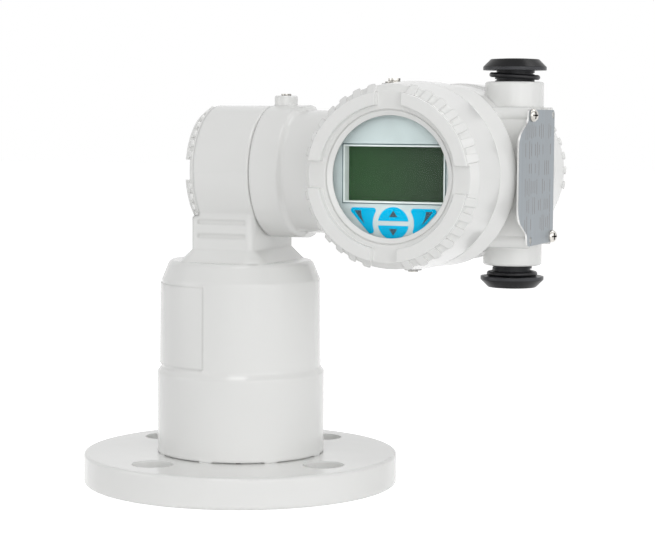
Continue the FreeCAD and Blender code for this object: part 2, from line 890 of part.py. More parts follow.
def make_end_cap():
    end = swivel_centre + V(-elbow_left, 0, 0)
    save("end_cap", placed(around(cap_shell(), [cap_turn])[0], leftward, end))
    save("end_cap_seal", placed(seal_ring(cap_thread_radius, cap_seal_low()), leftward, end))


# Head casting

def collar_form():
    # Local Z is the swivel axis, measured from the sensor's own axis.
    reach = head_offset - bore_radius
    return turned([
        (0, collar_start), (collar_radius, collar_start, collar_edge),
        (collar_radius, collar_end, collar_edge), (stub_radius, collar_end + collar_fillet, collar_fillet),
        (stub_radius, reach), (0, reach),
    ])


def collar_gussets():
    # Two gussets carry the collar's round on towards the barrel and narrow as they go.
    start = collar_end - root
    waist = start + gusset_waist_reach
    far = start + gusset_length
    tip = far + gusset_slope
    plan = [
        (start, -gusset_half_width), (waist, -gusset_waist, gusset_fillet), (tip, -gusset_tip),
        (tip, gusset_tip), (waist, gusset_waist, gusset_fillet), (start, gusset_half_width),
    ]
    wedge = prism(plan, -collar_radius, collar_radius)
    foot = stub_radius - root * 2
    crown = turned([
        (foot, start), (collar_radius, start), (collar_radius, far, collar_edge),
        (stub_radius - root, tip), (foot, tip),
    ])
    return wedge.common(placed(crown, rightward, V(0, 0, 0)))


def barrel_form():
    # Local Z runs forward along the barrel.
    waist = barrel_radius - waist_depth
    fore = front_seam - front_ring
    aft = -rear_seam + rear_ring
    return turned([
        (0, -rear_seam), (barrel_radius, -rear_seam, barrel_edge), (barrel_radius, aft),
        (waist, aft + waist_ramp), (waist, fore - waist_ramp), (barrel_radius, fore),
        (barrel_radius, front_seam, barrel_edge), (0, front_seam),
    ])


def fairing_form():
    crest = barrel_radius + fairing_rise
    foot = bore_radius + barrel_wall / 2
    high = front_seam - barrel_edge
    low = high - fairing_length
    tail = low - fairing_tail
    corners = [
        (foot, high), (barrel_radius, high), (crest, low, fairing_crest_round),
        (barrel_radius - waist_depth, tail), (foot, tail),
    ]
    return turned(corners, fairing_half_angle * 2, -fairing_half_angle)


def conduit_form():
    shoulder = conduit_top - conduit_boss_height
    neck = conduit_boss_radius - conduit_step
    half = [
        (conduit_boss_radius, conduit_top, conduit_edge), (conduit_boss_radius, shoulder),
        (neck, shoulder - conduit_step),
    ]
    mirrored = [(corner[0], -corner[1]) + corner[2:] for corner in reversed(half)]
    return turned([(0, conduit_top)] + half + mirrored + [(0, -conduit_top)])


def plate_holes():
    centre = swivel_height - plate_drop
    return [(y, centre + side * hole_half_height) for y in (hole_front, hole_rear) for side in (-1, 1)]


def earth_pad():
    pad = prism([
        (-earth_pad_radius, -earth_pad_radius, earth_pad_radius),
        (earth_pad_reach, -earth_pad_radius, cast_edge), (earth_pad_reach, earth_pad_radius, cast_edge),
        (-earth_pad_radius, earth_pad_radius, earth_pad_radius),
    ], bore_radius, earth_top)
    return placed(pad, upright, earth_centre)


def cover_locks():
    front = head_centre + V(0, cover_lock_inset - front_seam, 0)
    rear = head_centre + V(0, rear_seam - cover_lock_inset, 0)
    return {
        "front_lock_screw": (front, front_lock_angle, front_lock_rise),
        "rear_lock_screw": (rear, rear_lock_angle, rear_lock_rise),
    }


def head_forms():
    forms = [placed(collar_form(), rightward, swivel_centre)]
    forms.append(placed(collar_gussets(), upright, swivel_centre))
    boss = turned([
        (0, spigot_radius), (lock_boss_radius, spigot_radius),
        (lock_boss_radius, lock_boss_height, cast_edge), (0, lock_boss_height),
    ])
    forms.append(placed(boss, upright, swivel_centre + V(lock_screw_x, 0, 0)))
    forms.append(placed(fairing_form(), forward, head_centre))
    forms.append(placed(conduit_form(), upright, conduit_centre))
    forms.append(earth_pad())
    for y, z in plate_holes():
        forms.append(placed(rod(post_radius, head_offset, plate_face), rightward, V(0, y, z)))
    for place, angle, rise in cover_locks().values():
        boss = rod(cover_lock_boss, bore_radius, barrel_radius + rise - cover_lock_proud)
        forms.append(placed(boss, radial(angle), place))
    return forms


def head_bores():
    front_thread = front_seam - cover_thread_length - hole_reserve
    rear_thread = rear_seam - cover_thread_length - hole_reserve
    bores = [
        rod(bore_radius, -partition_front, front_seam), rod(bore_radius, -rear_seam, -partition_back),
        rod(cover_thread_radius + thread_gap, front_thread, front_seam),
        rod(cover_thread_radius + thread_gap, -rear_seam, -rear_thread),
        rod(feedthrough_radius + seat_gap, -partition_back, -partition_front, 0, -feedthrough_drop),
    ]
    screw = module_screw_radius + seat_gap
    deep = -partition_front - module_screw_depth - hole_reserve
    module = rod(screw, deep, -partition_front, module_post_circle, 0)
    bores += around(module, module_angles())
    ground = rod(screw, -partition_back, -partition_back + module_screw_depth, inner_ground_circle, 0)
    bores += around(ground, [inner_ground_angle])
    return [placed(bore, forward, head_centre) for bore in bores]


def head_holes():
    swivel = rod(spigot_radius + swivel_gap, 0, spigot_end + seam_gap)
    wiring = rod(wiring_hole, 0, head_offset - bore_radius + barrel_wall)
    holes = [placed(hole, rightward, swivel_centre) for hole in (swivel, wiring)]
    holes.append(placed(rod(conduit_bore, -conduit_top, conduit_top), upright, conduit_centre))
    lock = rod(lock_screw_radius + seat_gap, spigot_bore, bar)
    holes.append(placed(lock, upright, swivel_centre + V(lock_screw_x, 0, 0)))
    depth = plate_screw_depth + hole_reserve
    plate_screw = rod(plate_screw_radius + seat_gap, plate_face - depth, plate_face)
    holes += [placed(plate_screw, rightward, V(0, y, z)) for y, z in plate_holes()]
    earth = rod(earth_screw_radius + seat_gap, earth_top - earth_screw_depth - hole_reserve, earth_top)
    spot_face = rod(earth_clamp_radius + seam_gap, earth_top, bar)
    holes += [placed(hole, upright, earth_centre) for hole in (earth, spot_face)]
    for place, angle, rise in cover_locks().values():
        holes.append(placed(rod(cover_lock_radius + seat_gap, bore_radius - root, bar), radial(angle), place))
    return holes


def make_head_housing():
    casting = joined(placed(barrel_form(), forward, head_centre), head_forms())
    return casting.cut(head_bores() + head_holes()).removeSplitter()


def make_lock_screws():
    tip = spigot_radius - lock_groove_depth + seam_gap
    screw = fastener(lock_screw_radius, lock_boss_height - tip, lock_screw_head_radius,
                     lock_screw_head_height, lock_screw_radius)
    save("swivel_lock_screw", placed(screw, upright, swivel_centre + V(lock_screw_x, 0, lock_boss_height)))
    locks = cover_locks()
    for node in locks:
        place, angle, rise = locks[node]
        top = barrel_radius + rise
        grub = rod(cover_lock_radius, top - cover_lock_length, top)
        grub = grub.cut(prism(hexagon(cover_lock_socket), top - cover_lock_socket_depth, top))
        save(node, placed(grub, radial(angle), place))


# Display module, drawn facing forward: local X to the right, local Y up, z = 0 behind the fascia

def save_display(node, shape):
    save(node, placed(shape, forward, head_centre + V(0, -fascia_back, 0)))


def lcd_block(grow, low, high):
    half = lcd_half_width + grow
    tall = lcd_half_height + grow
    return slab(-half, half, lcd_centre - tall, lcd_centre + tall, low, high)


def rounded_key(blank):
    # Keeps the outermost piece of the blank and rounds its upright edges.
    solid = min(blank.Solids, key=lambda piece: piece.CenterOfMass.x)
    edges = [edge for edge in solid.Edges if abs(edge.tangentAt(edge.FirstParameter).z) > 0.99]
    return solid.makeFillet(soft_key_corner, edges)


def key_blanks(low, high):
    disc = rod(key_disc_radius, low, high, 0, -key_drop)
    up = disc.common(slab(-bar, bar, -key_drop + key_split / 2, bar, low, high))
    down = disc.common(slab(-bar, bar, -bar, -key_drop - key_split / 2, low, high))
    top = lcd_low - soft_key_gap
    foot = top - soft_key_height
    outer = key_disc_radius + soft_key_width
    tip = key_disc_radius + soft_key_tip
    wedge = prism([(-outer, top), (0, top), (0, foot), (-tip, foot)], low, high)
    left = rounded_key(wedge.cut(rod(key_disc_radius + soft_key_clear, low, high, 0, -key_drop)))
    right = left.mirror(V(0, 0, 0), V(1, 0, 0))
    return {"up_key": up, "down_key": down, "left_soft_key": left, "right_soft_key": right}


def make_display():
    pocket = fascia_thickness - key_inlay
    sockets = key_blanks(pocket, fascia_thickness)
    frame = lcd_block(seat_gap, 0, fascia_thickness)
    fascia = rod(fascia_radius, 0, fascia_thickness).cut([frame] + list(sockets.values()))
    save_display("display_fascia", fascia)
    keys = key_blanks(pocket, fascia_thickness + key_proud)
    for node in keys:
        save_display(node, keys[node])
    lcd_face = fascia_thickness - lcd_recess
    lcd_back = lcd_face - lcd_thickness
    rim = fascia_thickness + lcd_bezel_rise
    save_display("lcd_bezel", lcd_block(0, lcd_face, rim).cut(lcd_block(-lcd_wall, lcd_face, rim)))
    save_display("lcd_panel", lcd_block(0, lcd_back, lcd_face))
    inside = fascia_radius - display_wall
    board_low = lcd_back - display_board_thickness
    hollow = [
        rod(inside - display_ledge, -display_depth + display_wall, lcd_back),
        rod(inside, board_low, lcd_back), lcd_block(seat_gap, lcd_back, 0),
    ]
    save_display("display_housing", rod(fascia_radius, -display_depth, 0).cut(hollow))
    save_display("display_board", rod(inside - seat_gap, board_low, lcd_back))


# Electronics and terminals

def module_angles():
    return even(module_screw_count, 90)


def make_electronics():
    low = -partition_front
    floor = low + module_floor
    cup = rod(module_radius, low, module_rim).cut(rod(module_radius - module_wall, floor, module_rim))
    cuts = around(rod(module_screw_radius + seat_gap, low, floor, module_post_circle, 0), module_angles())
    cuts.append(slab(-bar, 0, -wiring_hole, wiring_hole, floor, module_rim))
    cuts.append(rod(feedthrough_rim + seam_gap, low, floor, 0, -feedthrough_drop))
    save("electronics_carrier", placed(cup.cut(cuts), forward, head_centre))
    screw = fastener(module_screw_radius, module_floor + module_screw_depth, module_screw_head,
                     module_screw_head_height)
    screws = around(placed(screw, upright, V(module_post_circle, 0, floor)), module_angles())
    save("module_screws", placed(Part.makeCompound(screws), forward, head_centre))
    board_top = module_rim + board_thickness
    save("main_board", placed(rod(module_radius - seat_gap, module_rim, board_top), forward, head_centre))
    posts = around(rod(module_post_radius, board_top, display_back, module_post_circle, 0), module_angles())
    save("display_posts", placed(Part.makeCompound(posts), forward, head_centre))
    bush = fastener(feedthrough_radius, partition_thickness, feedthrough_rim, feedthrough_rim_height)
    save("feedthrough", placed(bush, forward, head_centre + V(0, partition_front, -feedthrough_drop)))


def make_terminals():
    # Local Z runs rearward from the partition and local Y down.
    tall = terminal_height / 2
    row = -tall / 2
    profile = [
        (-tall, 0), (tall, 0), (tall, terminal_step, fine_edge), (0, terminal_step),
        (0, terminal_depth, fine_edge), (-tall, terminal_depth, fine_edge),
    ]
    block = Part.Face(outline(profile, on_side)).extrude(V(terminal_width, 0, 0))
    block.translate(V(-terminal_width / 2, 0, 0))
    floor = terminal_depth - terminal_step
    top = terminal_depth + terminal_screw_rise
    slot = terminal_slot_width / 2
    screws = []
    for i in range(terminal_count):
        x = terminal_pitch * (i - (terminal_count - 1) / 2)
        block = block.cut(rod(terminal_screw_radius + seat_gap, floor, terminal_depth, x, row))
        screw = rod(terminal_screw_radius, floor, top, x, row)
        screws.append(screw.cut(slab(-bar, bar, row - slot, row + slot, top - terminal_slot_depth, top)))
    back = head_centre + V(0, partition_back, 0)
    save("terminal_block", placed(block, rearward, back))
    save("terminal_screws", placed(Part.makeCompound(screws), rearward, back))
    depth = module_screw_depth - seat_gap
    ground = fastener(module_screw_radius, depth, inner_ground_head, inner_ground_height)
    ground = placed(ground, inverted, V(inner_ground_circle, 0, -partition_back))
    save("inner_ground_screw", placed(around(ground, [inner_ground_angle])[0], forward, head_centre))


# Plugs, plate and earth screw

def plug():
    # Local Z points out of the entry and z = 0 is the boss face; the crown's flank slopes at 45 degrees.
    brim = plug_gap + plug_brim_height
    crown = brim + plug_crown_height
    thread = conduit_bore - thread_gap
    return turned([
        (0, -plug_thread_length), (thread, -plug_thread_length, fine_edge), (thread, 0),
        (plug_stem_radius, 0), (plug_stem_radius, plug_gap), (plug_brim_radius, plug_gap),
        (plug_brim_radius, brim), (plug_brim_radius - plug_crown_height, crown), (0, crown),
    ])


def make_plugs():
    top = conduit_centre + V(0, 0, conduit_top)
    low = conduit_centre - V(0, 0, conduit_top)
    save("upper_plug", placed(plug(), upright, top))
    save("lower_plug", placed(plug(), inverted, low))
    ring = Part.makeTorus(plug_seal_radius, plug_seal_section)
    # The upper ring hangs askew on the thread and the lower one lies on the brim.
    askew = FreeCAD.Rotation(V(0, 1, 0), upper_seal_tilt)
    save("upper_plug_seal", placed(ring, askew, top + V(0, 0, plug_gap / 2)))
    save("lower_plug_seal", placed(ring, upright, low - V(0, 0, plug_gap - plug_seal_section - seat_gap)))


def make_plate():
    front = hole_front - plate_ear
    rear = hole_rear + plate_border
    tall = hole_half_height + plate_border
    upper = [
        (rear, tall, plate_corner), (front, tall, plate_corner),
        (front, plate_shoulder_half, plate_shoulder_round), (-plate_wing, plate_wing_half, plate_wing_round),
    ]
    lower = [(corner[0], -corner[1], corner[2]) for corner in reversed(upper)]
    plate = Part.Face(outline(upper + lower, on_side)).extrude(V(plate_thickness, 0, 0))
    plate.translate(V(plate_face, 0, swivel_height - plate_drop))
    holes = [placed(rod(plate_hole, 0, bar), rightward, V(0, y, z)) for y, z in plate_holes()]
    save("name_plate", plate.cut(holes))
    screw = turned([
        (0, -plate_screw_depth), (plate_screw_radius, -plate_screw_depth), (plate_screw_radius, 0),
        (plate_screw_head, 0), (plate_screw_head, plate_screw_head_height, plate_screw_crown),
        (0, plate_screw_head_height),
    ])
    # Only two of the four holes hold a screw: the upper front one and the lower rear one.
    seat = plate_face + plate_thickness
    screws = [placed(screw, rightward, V(seat, y, z)) for y, z in plate_holes()[1:3]]
    save("plate_screws", Part.makeCompound(screws))


def make_earth():
    place = earth_centre + V(0, 0, earth_top)
    clamp = tube(earth_screw_radius + seat_gap, earth_clamp_radius, 0, earth_clamp_thickness)
    save("ground_clamp", placed(clamp, upright, place))
    screw = fastener(earth_screw_radius, earth_screw_depth + earth_clamp_thickness, earth_screw_head,
                     earth_screw_head_height)
    slot = earth_slot_width / 2
    slot = slab(-bar, bar, -slot, slot, earth_screw_head_height - earth_slot_depth, earth_screw_head_height)
    save("ground_screw", placed(screw.cut(slot), upright, place + V(0, 0, earth_clamp_thickness)))


save("flange", make_flange())
save("flange_screws", make_flange_screws())
make_window_stack()
save("sensor_housing", make_sensor_housing())
save("swivel_seal", make_swivel_seal())
make_carrier()
make_laser()
make_receiver()
make_sensor_board()
make_end_cap()
save("head_housing", make_head_housing())
make_lock_screws()
make_covers()
make_display()
make_electronics()
make_terminals()
make_plugs()
make_plate()
make_earth()
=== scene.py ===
import json
import math

import bmesh
import bpy
from mathutils import Matrix, Vector


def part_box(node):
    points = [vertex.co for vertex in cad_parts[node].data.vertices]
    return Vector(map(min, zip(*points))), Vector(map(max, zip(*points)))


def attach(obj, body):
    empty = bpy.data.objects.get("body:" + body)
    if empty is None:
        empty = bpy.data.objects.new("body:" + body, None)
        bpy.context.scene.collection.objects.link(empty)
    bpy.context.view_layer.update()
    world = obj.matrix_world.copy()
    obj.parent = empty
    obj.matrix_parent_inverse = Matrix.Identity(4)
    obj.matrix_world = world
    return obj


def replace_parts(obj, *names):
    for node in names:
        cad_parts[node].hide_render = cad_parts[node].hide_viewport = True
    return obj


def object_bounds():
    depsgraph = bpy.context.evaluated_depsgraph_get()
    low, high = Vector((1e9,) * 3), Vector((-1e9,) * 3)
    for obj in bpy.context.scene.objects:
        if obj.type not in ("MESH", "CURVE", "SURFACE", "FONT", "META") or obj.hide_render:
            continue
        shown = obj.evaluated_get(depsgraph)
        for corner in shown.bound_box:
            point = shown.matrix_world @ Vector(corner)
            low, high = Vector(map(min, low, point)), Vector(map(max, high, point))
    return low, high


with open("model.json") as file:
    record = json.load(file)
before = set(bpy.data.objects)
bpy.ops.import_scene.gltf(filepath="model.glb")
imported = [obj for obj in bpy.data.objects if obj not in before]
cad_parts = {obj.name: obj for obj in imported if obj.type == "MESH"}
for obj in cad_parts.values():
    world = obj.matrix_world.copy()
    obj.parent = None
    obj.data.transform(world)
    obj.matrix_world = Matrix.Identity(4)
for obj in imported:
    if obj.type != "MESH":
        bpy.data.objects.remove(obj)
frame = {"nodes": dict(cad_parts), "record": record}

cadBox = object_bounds()
nodes = frame["nodes"]
scene = bpy.context.scene
scene.view_settings.view_transform = "Standard"
mm = 0.001


# Node helpers: a value that is a socket is linked, any other is set on the socket itself

def addNode(tree, kind, sockets=None):
    node = tree.nodes.new(kind)
    for name, value in (sockets or {}).items():
        if isinstance(value, bpy.types.NodeSocket):
            tree.links.new(value, node.inputs[name])
        else:
            node.inputs[name].default_value = value
    return node


def addMath(tree, operation, first, second):
    node = addNode(tree, "ShaderNodeMath", {0: first, 1: second})
    node.operation = operation
    return node.outputs[0]


def startFinish(name, sockets):
    material = bpy.data.materials.new(name)
    material.use_nodes = True
    tree = material.node_tree
    tree.nodes.clear()
    shader = addNode(tree, "ShaderNodeBsdfPrincipled", sockets)
    addNode(tree, "ShaderNodeOutputMaterial", {"Surface": shader.outputs[0]})
    return material, tree, shader


def objectPoint(tree, stretch=(1, 1, 1), turn=(0, 0, 0)):
    place = addNode(tree, "ShaderNodeTexCoord")
    mapping = addNode(tree, "ShaderNodeMapping", {"Vector": place.outputs["Object"], "Scale": stretch})
    mapping.inputs["Rotation"].default_value = [math.radians(angle) for angle in turn]
    return mapping.outputs[0]


def objectAxis(tree, axis):
    place = addNode(tree, "ShaderNodeTexCoord").outputs["Object"]
    return addNode(tree, "ShaderNodeSeparateXYZ", {"Vector": place}).outputs[axis]


def noise(tree, point, scale, detail=2.0, rough=0.5):
    sockets = {"Vector": point, "Scale": scale, "Detail": detail, "Roughness": rough}
    return addNode(tree, "ShaderNodeTexNoise", sockets).outputs["Fac"]


def spread(tree, value, low, high, start=0.3, stop=0.7):
    ends = {"Value": value, "From Min": start, "From Max": stop, "To Min": low, "To Max": high}
    return addNode(tree, "ShaderNodeMapRange", ends).outputs["Result"]


def twoTone(tree, value, dark, pale, start=0.3, stop=0.7):
    node = addNode(tree, "ShaderNodeValToRGB", {"Fac": value})
    node.color_ramp.interpolation = "EASE"
    for end, place, tone in zip(node.color_ramp.elements, (start, stop), (dark, pale)):
        end.position = place
        end.color = (*tone, 1)
    return node.outputs["Color"]


def bump(tree, height, depth, under=None):
    node = addNode(tree, "ShaderNodeBump", {"Height": height, "Strength": 1.0, "Distance": depth})
    if under:
        tree.links.new(under, node.inputs["Normal"])
    return node.outputs[0]


def softEdge(tree, radius, samples):
    node = addNode(tree, "ShaderNodeBevel", {"Radius": radius})
    node.samples = samples
    return node.outputs[0]


def blend(tree, share, first, second):
    node = addNode(tree, "ShaderNodeMix", {0: share, 6: first, 7: second})
    node.data_type = "RGBA"
    return node.outputs[2]


def scaled(tone, share):
    return tuple(part * share for part in tone)


# Finishes: bump depths, soft edges and the reach of the screws' painted shade in metres, other sizes in
# millimetres

paintSet = {
    "pale": (0.885, 0.886, 0.874), "dark": (0.865, 0.869, 0.854), "patch": 9.0, "patchEnds": (0.15, 0.85),
    "rough": (0.19, 0.26), "smear": 40.0, "smearEnds": (0.1, 0.9), "gloss": 0.3, "glossRough": 0.05,
    "peel": 620.0, "peelDepth": 0.00002, "wave": 26.0, "waveDepth": 0.00006, "edgeSamples": 12,
    "bodyEdge": 0.0022, "flangeEdge": 0.0014, "ribEdge": 0.0008, "flangeLift": 1.05,
}


def castPaint(name, edge=0.0, lift=1.0):
    # Sprayed enamel on a casting: orange peel, slow waves that bend its reflections, and soft edges
    material, tree, shader = startFinish(name, {
        "Coat Weight": paintSet["gloss"], "Coat Roughness": paintSet["glossRough"]})
    point = objectPoint(tree)
    patches = noise(tree, point, paintSet["patch"], detail=3.0)
    rounded = softEdge(tree, edge, paintSet["edgeSamples"]) if edge else None
    waves = bump(tree, noise(tree, point, paintSet["wave"], detail=1.0), paintSet["waveDepth"], rounded)
    peel = bump(tree, noise(tree, point, paintSet["peel"], detail=1.0), paintSet["peelDepth"], waves)
    # A lift above 1 paints light into both tones
    dark, pale = (scaled(paintSet[end], lift) for end in ("dark", "pale"))
    tree.links.new(twoTone(tree, patches, dark, pale, *paintSet["patchEnds"]), shader.inputs["Base Color"])
    smears = noise(tree, point, paintSet["smear"])
    rough = spread(tree, smears, *paintSet["rough"], *paintSet["smearEnds"])
    tree.links.new(rough, shader.inputs["Roughness"])
    tree.links.new(peel, shader.inputs["Normal"])
    return material


metalSet = {"detail": 4.0, "streakRough": 0.6, "shade": 0.86, "depth": 0.00001}


def metalFinish(name, tone, rough, grain):
    material, tree, shader = startFinish(name, {"Metallic": 1.0})
    streaks = noise(tree, objectPoint(tree), grain, metalSet["detail"], metalSet["streakRough"])
    dark = scaled(tone, metalSet["shade"])
    tree.links.new(twoTone(tree, streaks, dark, tone), shader.inputs["Base Color"])
    tree.links.new(spread(tree, streaks, *rough), shader.inputs["Roughness"])
    tree.links.new(bump(tree, streaks, metalSet["depth"]), shader.inputs["Normal"])
    return material


screwSet = {
    "tone": (0.66, 0.64, 0.60), "shade": 0.7, "rough": (0.12, 0.24), "wear": 420.0,
    "dirt": (0.05, 0.045, 0.04, 1), "dirtReach": 0.0016, "dirtEnds": (0.45, 0.85),
}


def screwFinish():
    # Bright steel with painted shade: an ambient occlusion mask darkens its slots and under its head
    material, tree, shader = startFinish("screwSteel", {"Metallic": 1.0})
    wear = noise(tree, objectPoint(tree), screwSet["wear"], detail=3.0)
    bright = twoTone(tree, wear, scaled(screwSet["tone"], screwSet["shade"]), screwSet["tone"])
    # Painted shade: the occlusion mask blends in a dark brown where the slots and the head's underside are
    # enclosed
    unoccluded = addNode(tree, "ShaderNodeAmbientOcclusion", {"Distance": screwSet["dirtReach"]}).outputs["AO"]
    unshaded = spread(tree, unoccluded, 0.0, 1.0, *screwSet["dirtEnds"])
    tree.links.new(blend(tree, unshaded, screwSet["dirt"], bright), shader.inputs["Base Color"])
    tree.links.new(spread(tree, wear, *screwSet["rough"]), shader.inputs["Roughness"])
    return material


plateSet = {
    "face": (0.315, 0.350, 0.380), "shade": 0.80, "edge": (0.78, 0.78, 0.77), "rough": (0.28, 0.40),
    "grain": 420.0, "stretch": (1, 1, 0.02), "skin": 0.1,
}


def plateFinish():
    # Brushed along its height on the face; the cut edges get a brighter tone, a painted highlight where they
    # catch the light
    material, tree, shader = startFinish("plateSteel", {"Metallic": 1.0})
    point = objectPoint(tree, plateSet["stretch"])
    streaks = noise(tree, point, plateSet["grain"], metalSet["detail"], metalSet["streakRough"])
    tones = {}
    for side in ("face", "edge"):
        dark = scaled(plateSet[side], plateSet["shade"])
        tones[side] = twoTone(tree, streaks, dark, plateSet[side])
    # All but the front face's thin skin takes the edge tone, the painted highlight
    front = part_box("name_plate")[1].x
    skin = plateSet["skin"] * mm
    share = spread(tree, objectAxis(tree, "X"), 0.0, 1.0, front - skin, front - skin / 2)
    tree.links.new(blend(tree, share, tones["edge"], tones["face"]), shader.inputs["Base Color"])
    tree.links.new(spread(tree, streaks, *plateSet["rough"]), shader.inputs["Roughness"])
    tree.links.new(bump(tree, streaks, metalSet["depth"]), shader.inputs["Normal"])
    return material


mouldSet = {"cloud": 60.0, "shade": 0.88, "grain": 900.0, "depth": 0.00002}
filmGrain = {"grain": 1500.0, "depth": 0.00001}


def mouldedFinish(name, tone, rough, shine=0.5, grain=mouldSet["grain"], depth=mouldSet["depth"]):
    material, tree, shader = startFinish(name, {"Specular IOR Level": shine})
    point = objectPoint(tree)
    cloud = noise(tree, point, mouldSet["cloud"], detail=3.0)
    dark = scaled(tone, mouldSet["shade"])
    tree.links.new(twoTone(tree, cloud, dark, tone), shader.inputs["Base Color"])
    tree.links.new(spread(tree, cloud, *rough), shader.inputs["Roughness"])
    tree.links.new(bump(tree, noise(tree, point, grain, detail=1.0), depth), shader.inputs["Normal"])
    return material


plugTone = {
    "crown": (0.0015, 0.0016, 0.0022), "brim": (0.044, 0.045, 0.049), "thread": (0.016, 0.0165, 0.019),
    "dust": 1.5, "crownHeight": 4.0, "brimHeight": 1.7, "soft": 0.1, "rough": (0.28, 0.36), "shine": 0.19,
}


def plugFinish():
    # Painted reflection and shade: the brims are painted paler, as if they caught the bright surroundings,
    # and the sloped ends painted dark; the threads lie between
    material, tree, shader = startFinish("plugPlastic", {"Specular IOR Level": plugTone["shine"]})
    low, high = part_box("lower_plug")[0].z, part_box("upper_plug")[1].z
    offset = addMath(tree, "SUBTRACT", objectAxis(tree, "Z"), (low + high) / 2)
    reach = addMath(tree, "ABSOLUTE", offset, 0.0)
    top = (high - low) / 2 - plugTone["crownHeight"] * mm
    foot = top - plugTone["brimHeight"] * mm
    soft = plugTone["soft"] * mm
    onBrim = spread(tree, reach, 0.0, 1.0, foot - soft, foot + soft)
    onCrown = spread(tree, reach, 0.0, 1.0, top - soft, top + soft)
    point = objectPoint(tree)
    cloud = noise(tree, point, mouldSet["cloud"], detail=3.0)
    tones = {}
    # The three zone tones paint reflection and shade by where each part of the plug faces
    for part in ("thread", "brim", "crown"):
        tones[part] = twoTone(tree, cloud, plugTone[part], scaled(plugTone[part], plugTone["dust"]))
    screw = blend(tree, onBrim, tones["thread"], tones["brim"])
    tree.links.new(blend(tree, onCrown, screw, tones["crown"]), shader.inputs["Base Color"])
    tree.links.new(spread(tree, cloud, *plugTone["rough"]), shader.inputs["Roughness"])
    grain = noise(tree, point, mouldSet["grain"], detail=1.0)
    tree.links.new(bump(tree, grain, mouldSet["depth"]), shader.inputs["Normal"])
    return material


paneSet = {"smear": 30.0, "rough": (0.0, 0.02)}


def paneFinish(name, tint, refraction):
    sockets = {"Base Color": (*tint, 1), "Transmission Weight": 1.0, "IOR": refraction}
    material, tree, shader = startFinish(name, sockets)
    smears = noise(tree, objectPoint(tree), paneSet["smear"], detail=3.0)
    tree.links.new(spread(tree, smears, *paneSet["rough"]), shader.inputs["Roughness"])
    return material


screenSet = {
    "left": (0.025, 0.067, 0.025), "right": (0.030, 0.051, 0.030), "shine": 0.12, "rough": (0.28, 0.36),
    "smear": 50.0, "cell": 0.45, "gap": 0.04, "depth": 0.000004,
}


def screenFinish():
    # The dark panel is greener on its left and has a faint grid of cells
    material, tree, shader = startFinish("screenGreen", {"Specular IOR Level": screenSet["shine"]})
    low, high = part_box("lcd_panel")
    across = spread(tree, objectAxis(tree, "X"), 0.0, 1.0, low.x, high.x)
    tone = twoTone(tree, across, screenSet["left"], screenSet["right"], 0.0, 1.0)
    tree.links.new(tone, shader.inputs["Base Color"])
    cells = addNode(tree, "ShaderNodeTexBrick", {
        "Vector": objectPoint(tree, turn=(90, 0, 0)), "Scale": 1.0, "Mortar Size": screenSet["gap"] * mm,
        "Brick Width": screenSet["cell"] * mm, "Row Height": screenSet["cell"] * mm})
    cells.offset = 0.0
    tree.links.new(bump(tree, cells.outputs["Fac"], screenSet["depth"]), shader.inputs["Normal"])
    smears = noise(tree, objectPoint(tree), screenSet["smear"])
    tree.links.new(spread(tree, smears, *screenSet["rough"]), shader.inputs["Roughness"])
    return material


finishes = {
    "enclosure_paint": castPaint("trimPaint"),
    "screw_steel": screwFinish(),
    "plate_steel": plateFinish(),
    "seal_rubber": mouldedFinish("sealRubber", (0.012, 0.012, 0.014), (0.28, 0.36), shine=0.35),
    "plug_plastic": plugFinish(),
    "clear_glass": paneFinish("clearGlass", (0.97, 0.99, 0.985), 1.12),
    "lens_glass": paneFinish("lensGlass", (0.90, 0.93, 0.99), 1.46),
    "cement": mouldedFinish("windowCement", (0.66, 0.67, 0.64), (0.5, 0.7)),
    "fascia_film": mouldedFinish("fasciaFilm", (0.555, 0.622, 0.628), (0.40, 0.50), 0.25, **filmGrain),
    "bezel_plastic": mouldedFinish("bezelPlastic", (0.74, 0.78, 0.77), (0.35, 0.45), shine=0.25),
    "lcd_film": screenFinish(),
    "key_film": mouldedFinish("keyFilm", (0.0, 0.41, 0.70), (0.38, 0.46), 0.04, **filmGrain),
    "module_plastic": mouldedFinish("modulePlastic", (0.05, 0.053, 0.056), (0.45, 0.6)),
    "terminal_plastic": mouldedFinish("terminalPlastic", (0.04, 0.16, 0.06), (0.4, 0.55)),
    "circuit_board": mouldedFinish("boardMask", (0.012, 0.10, 0.035), (0.28, 0.42)),
    "bare_aluminium": metalFinish("bareAluminium", (0.78, 0.79, 0.80), (0.28, 0.38), 220.0),
    "black_aluminium": mouldedFinish("blackAnodised", (0.02, 0.02, 0.022), (0.4, 0.55), shine=0.3),
    "post_brass": metalFinish("postBrass", (0.78, 0.58, 0.26), (0.28, 0.36), 220.0),
}
inkFinish = mouldedFinish("keyInk", (0.046, 0.088, 0.115), (0.45, 0.55), 0.2, **filmGrain)
frameInk = mouldedFinish("frameInk", (0.075, 0.125, 0.14), (0.45, 0.55), 0.2, **filmGrain)
etchFinish = metalFinish("etchedRow", (0.27, 0.235, 0.215), (0.45, 0.6), 900.0)
slotOf = {part["node"]: part["material_slot"] for part in frame["record"]["subparts"]}
for name, piece in nodes.items():
    piece.data.materials.clear()
    piece.data.materials.append(finishes[slotOf[name]])
bodyPaint = castPaint("bodyPaint", paintSet["bodyEdge"])
for name in ("sensor_housing", "head_housing"):
    nodes[name].data.materials[0] = bodyPaint
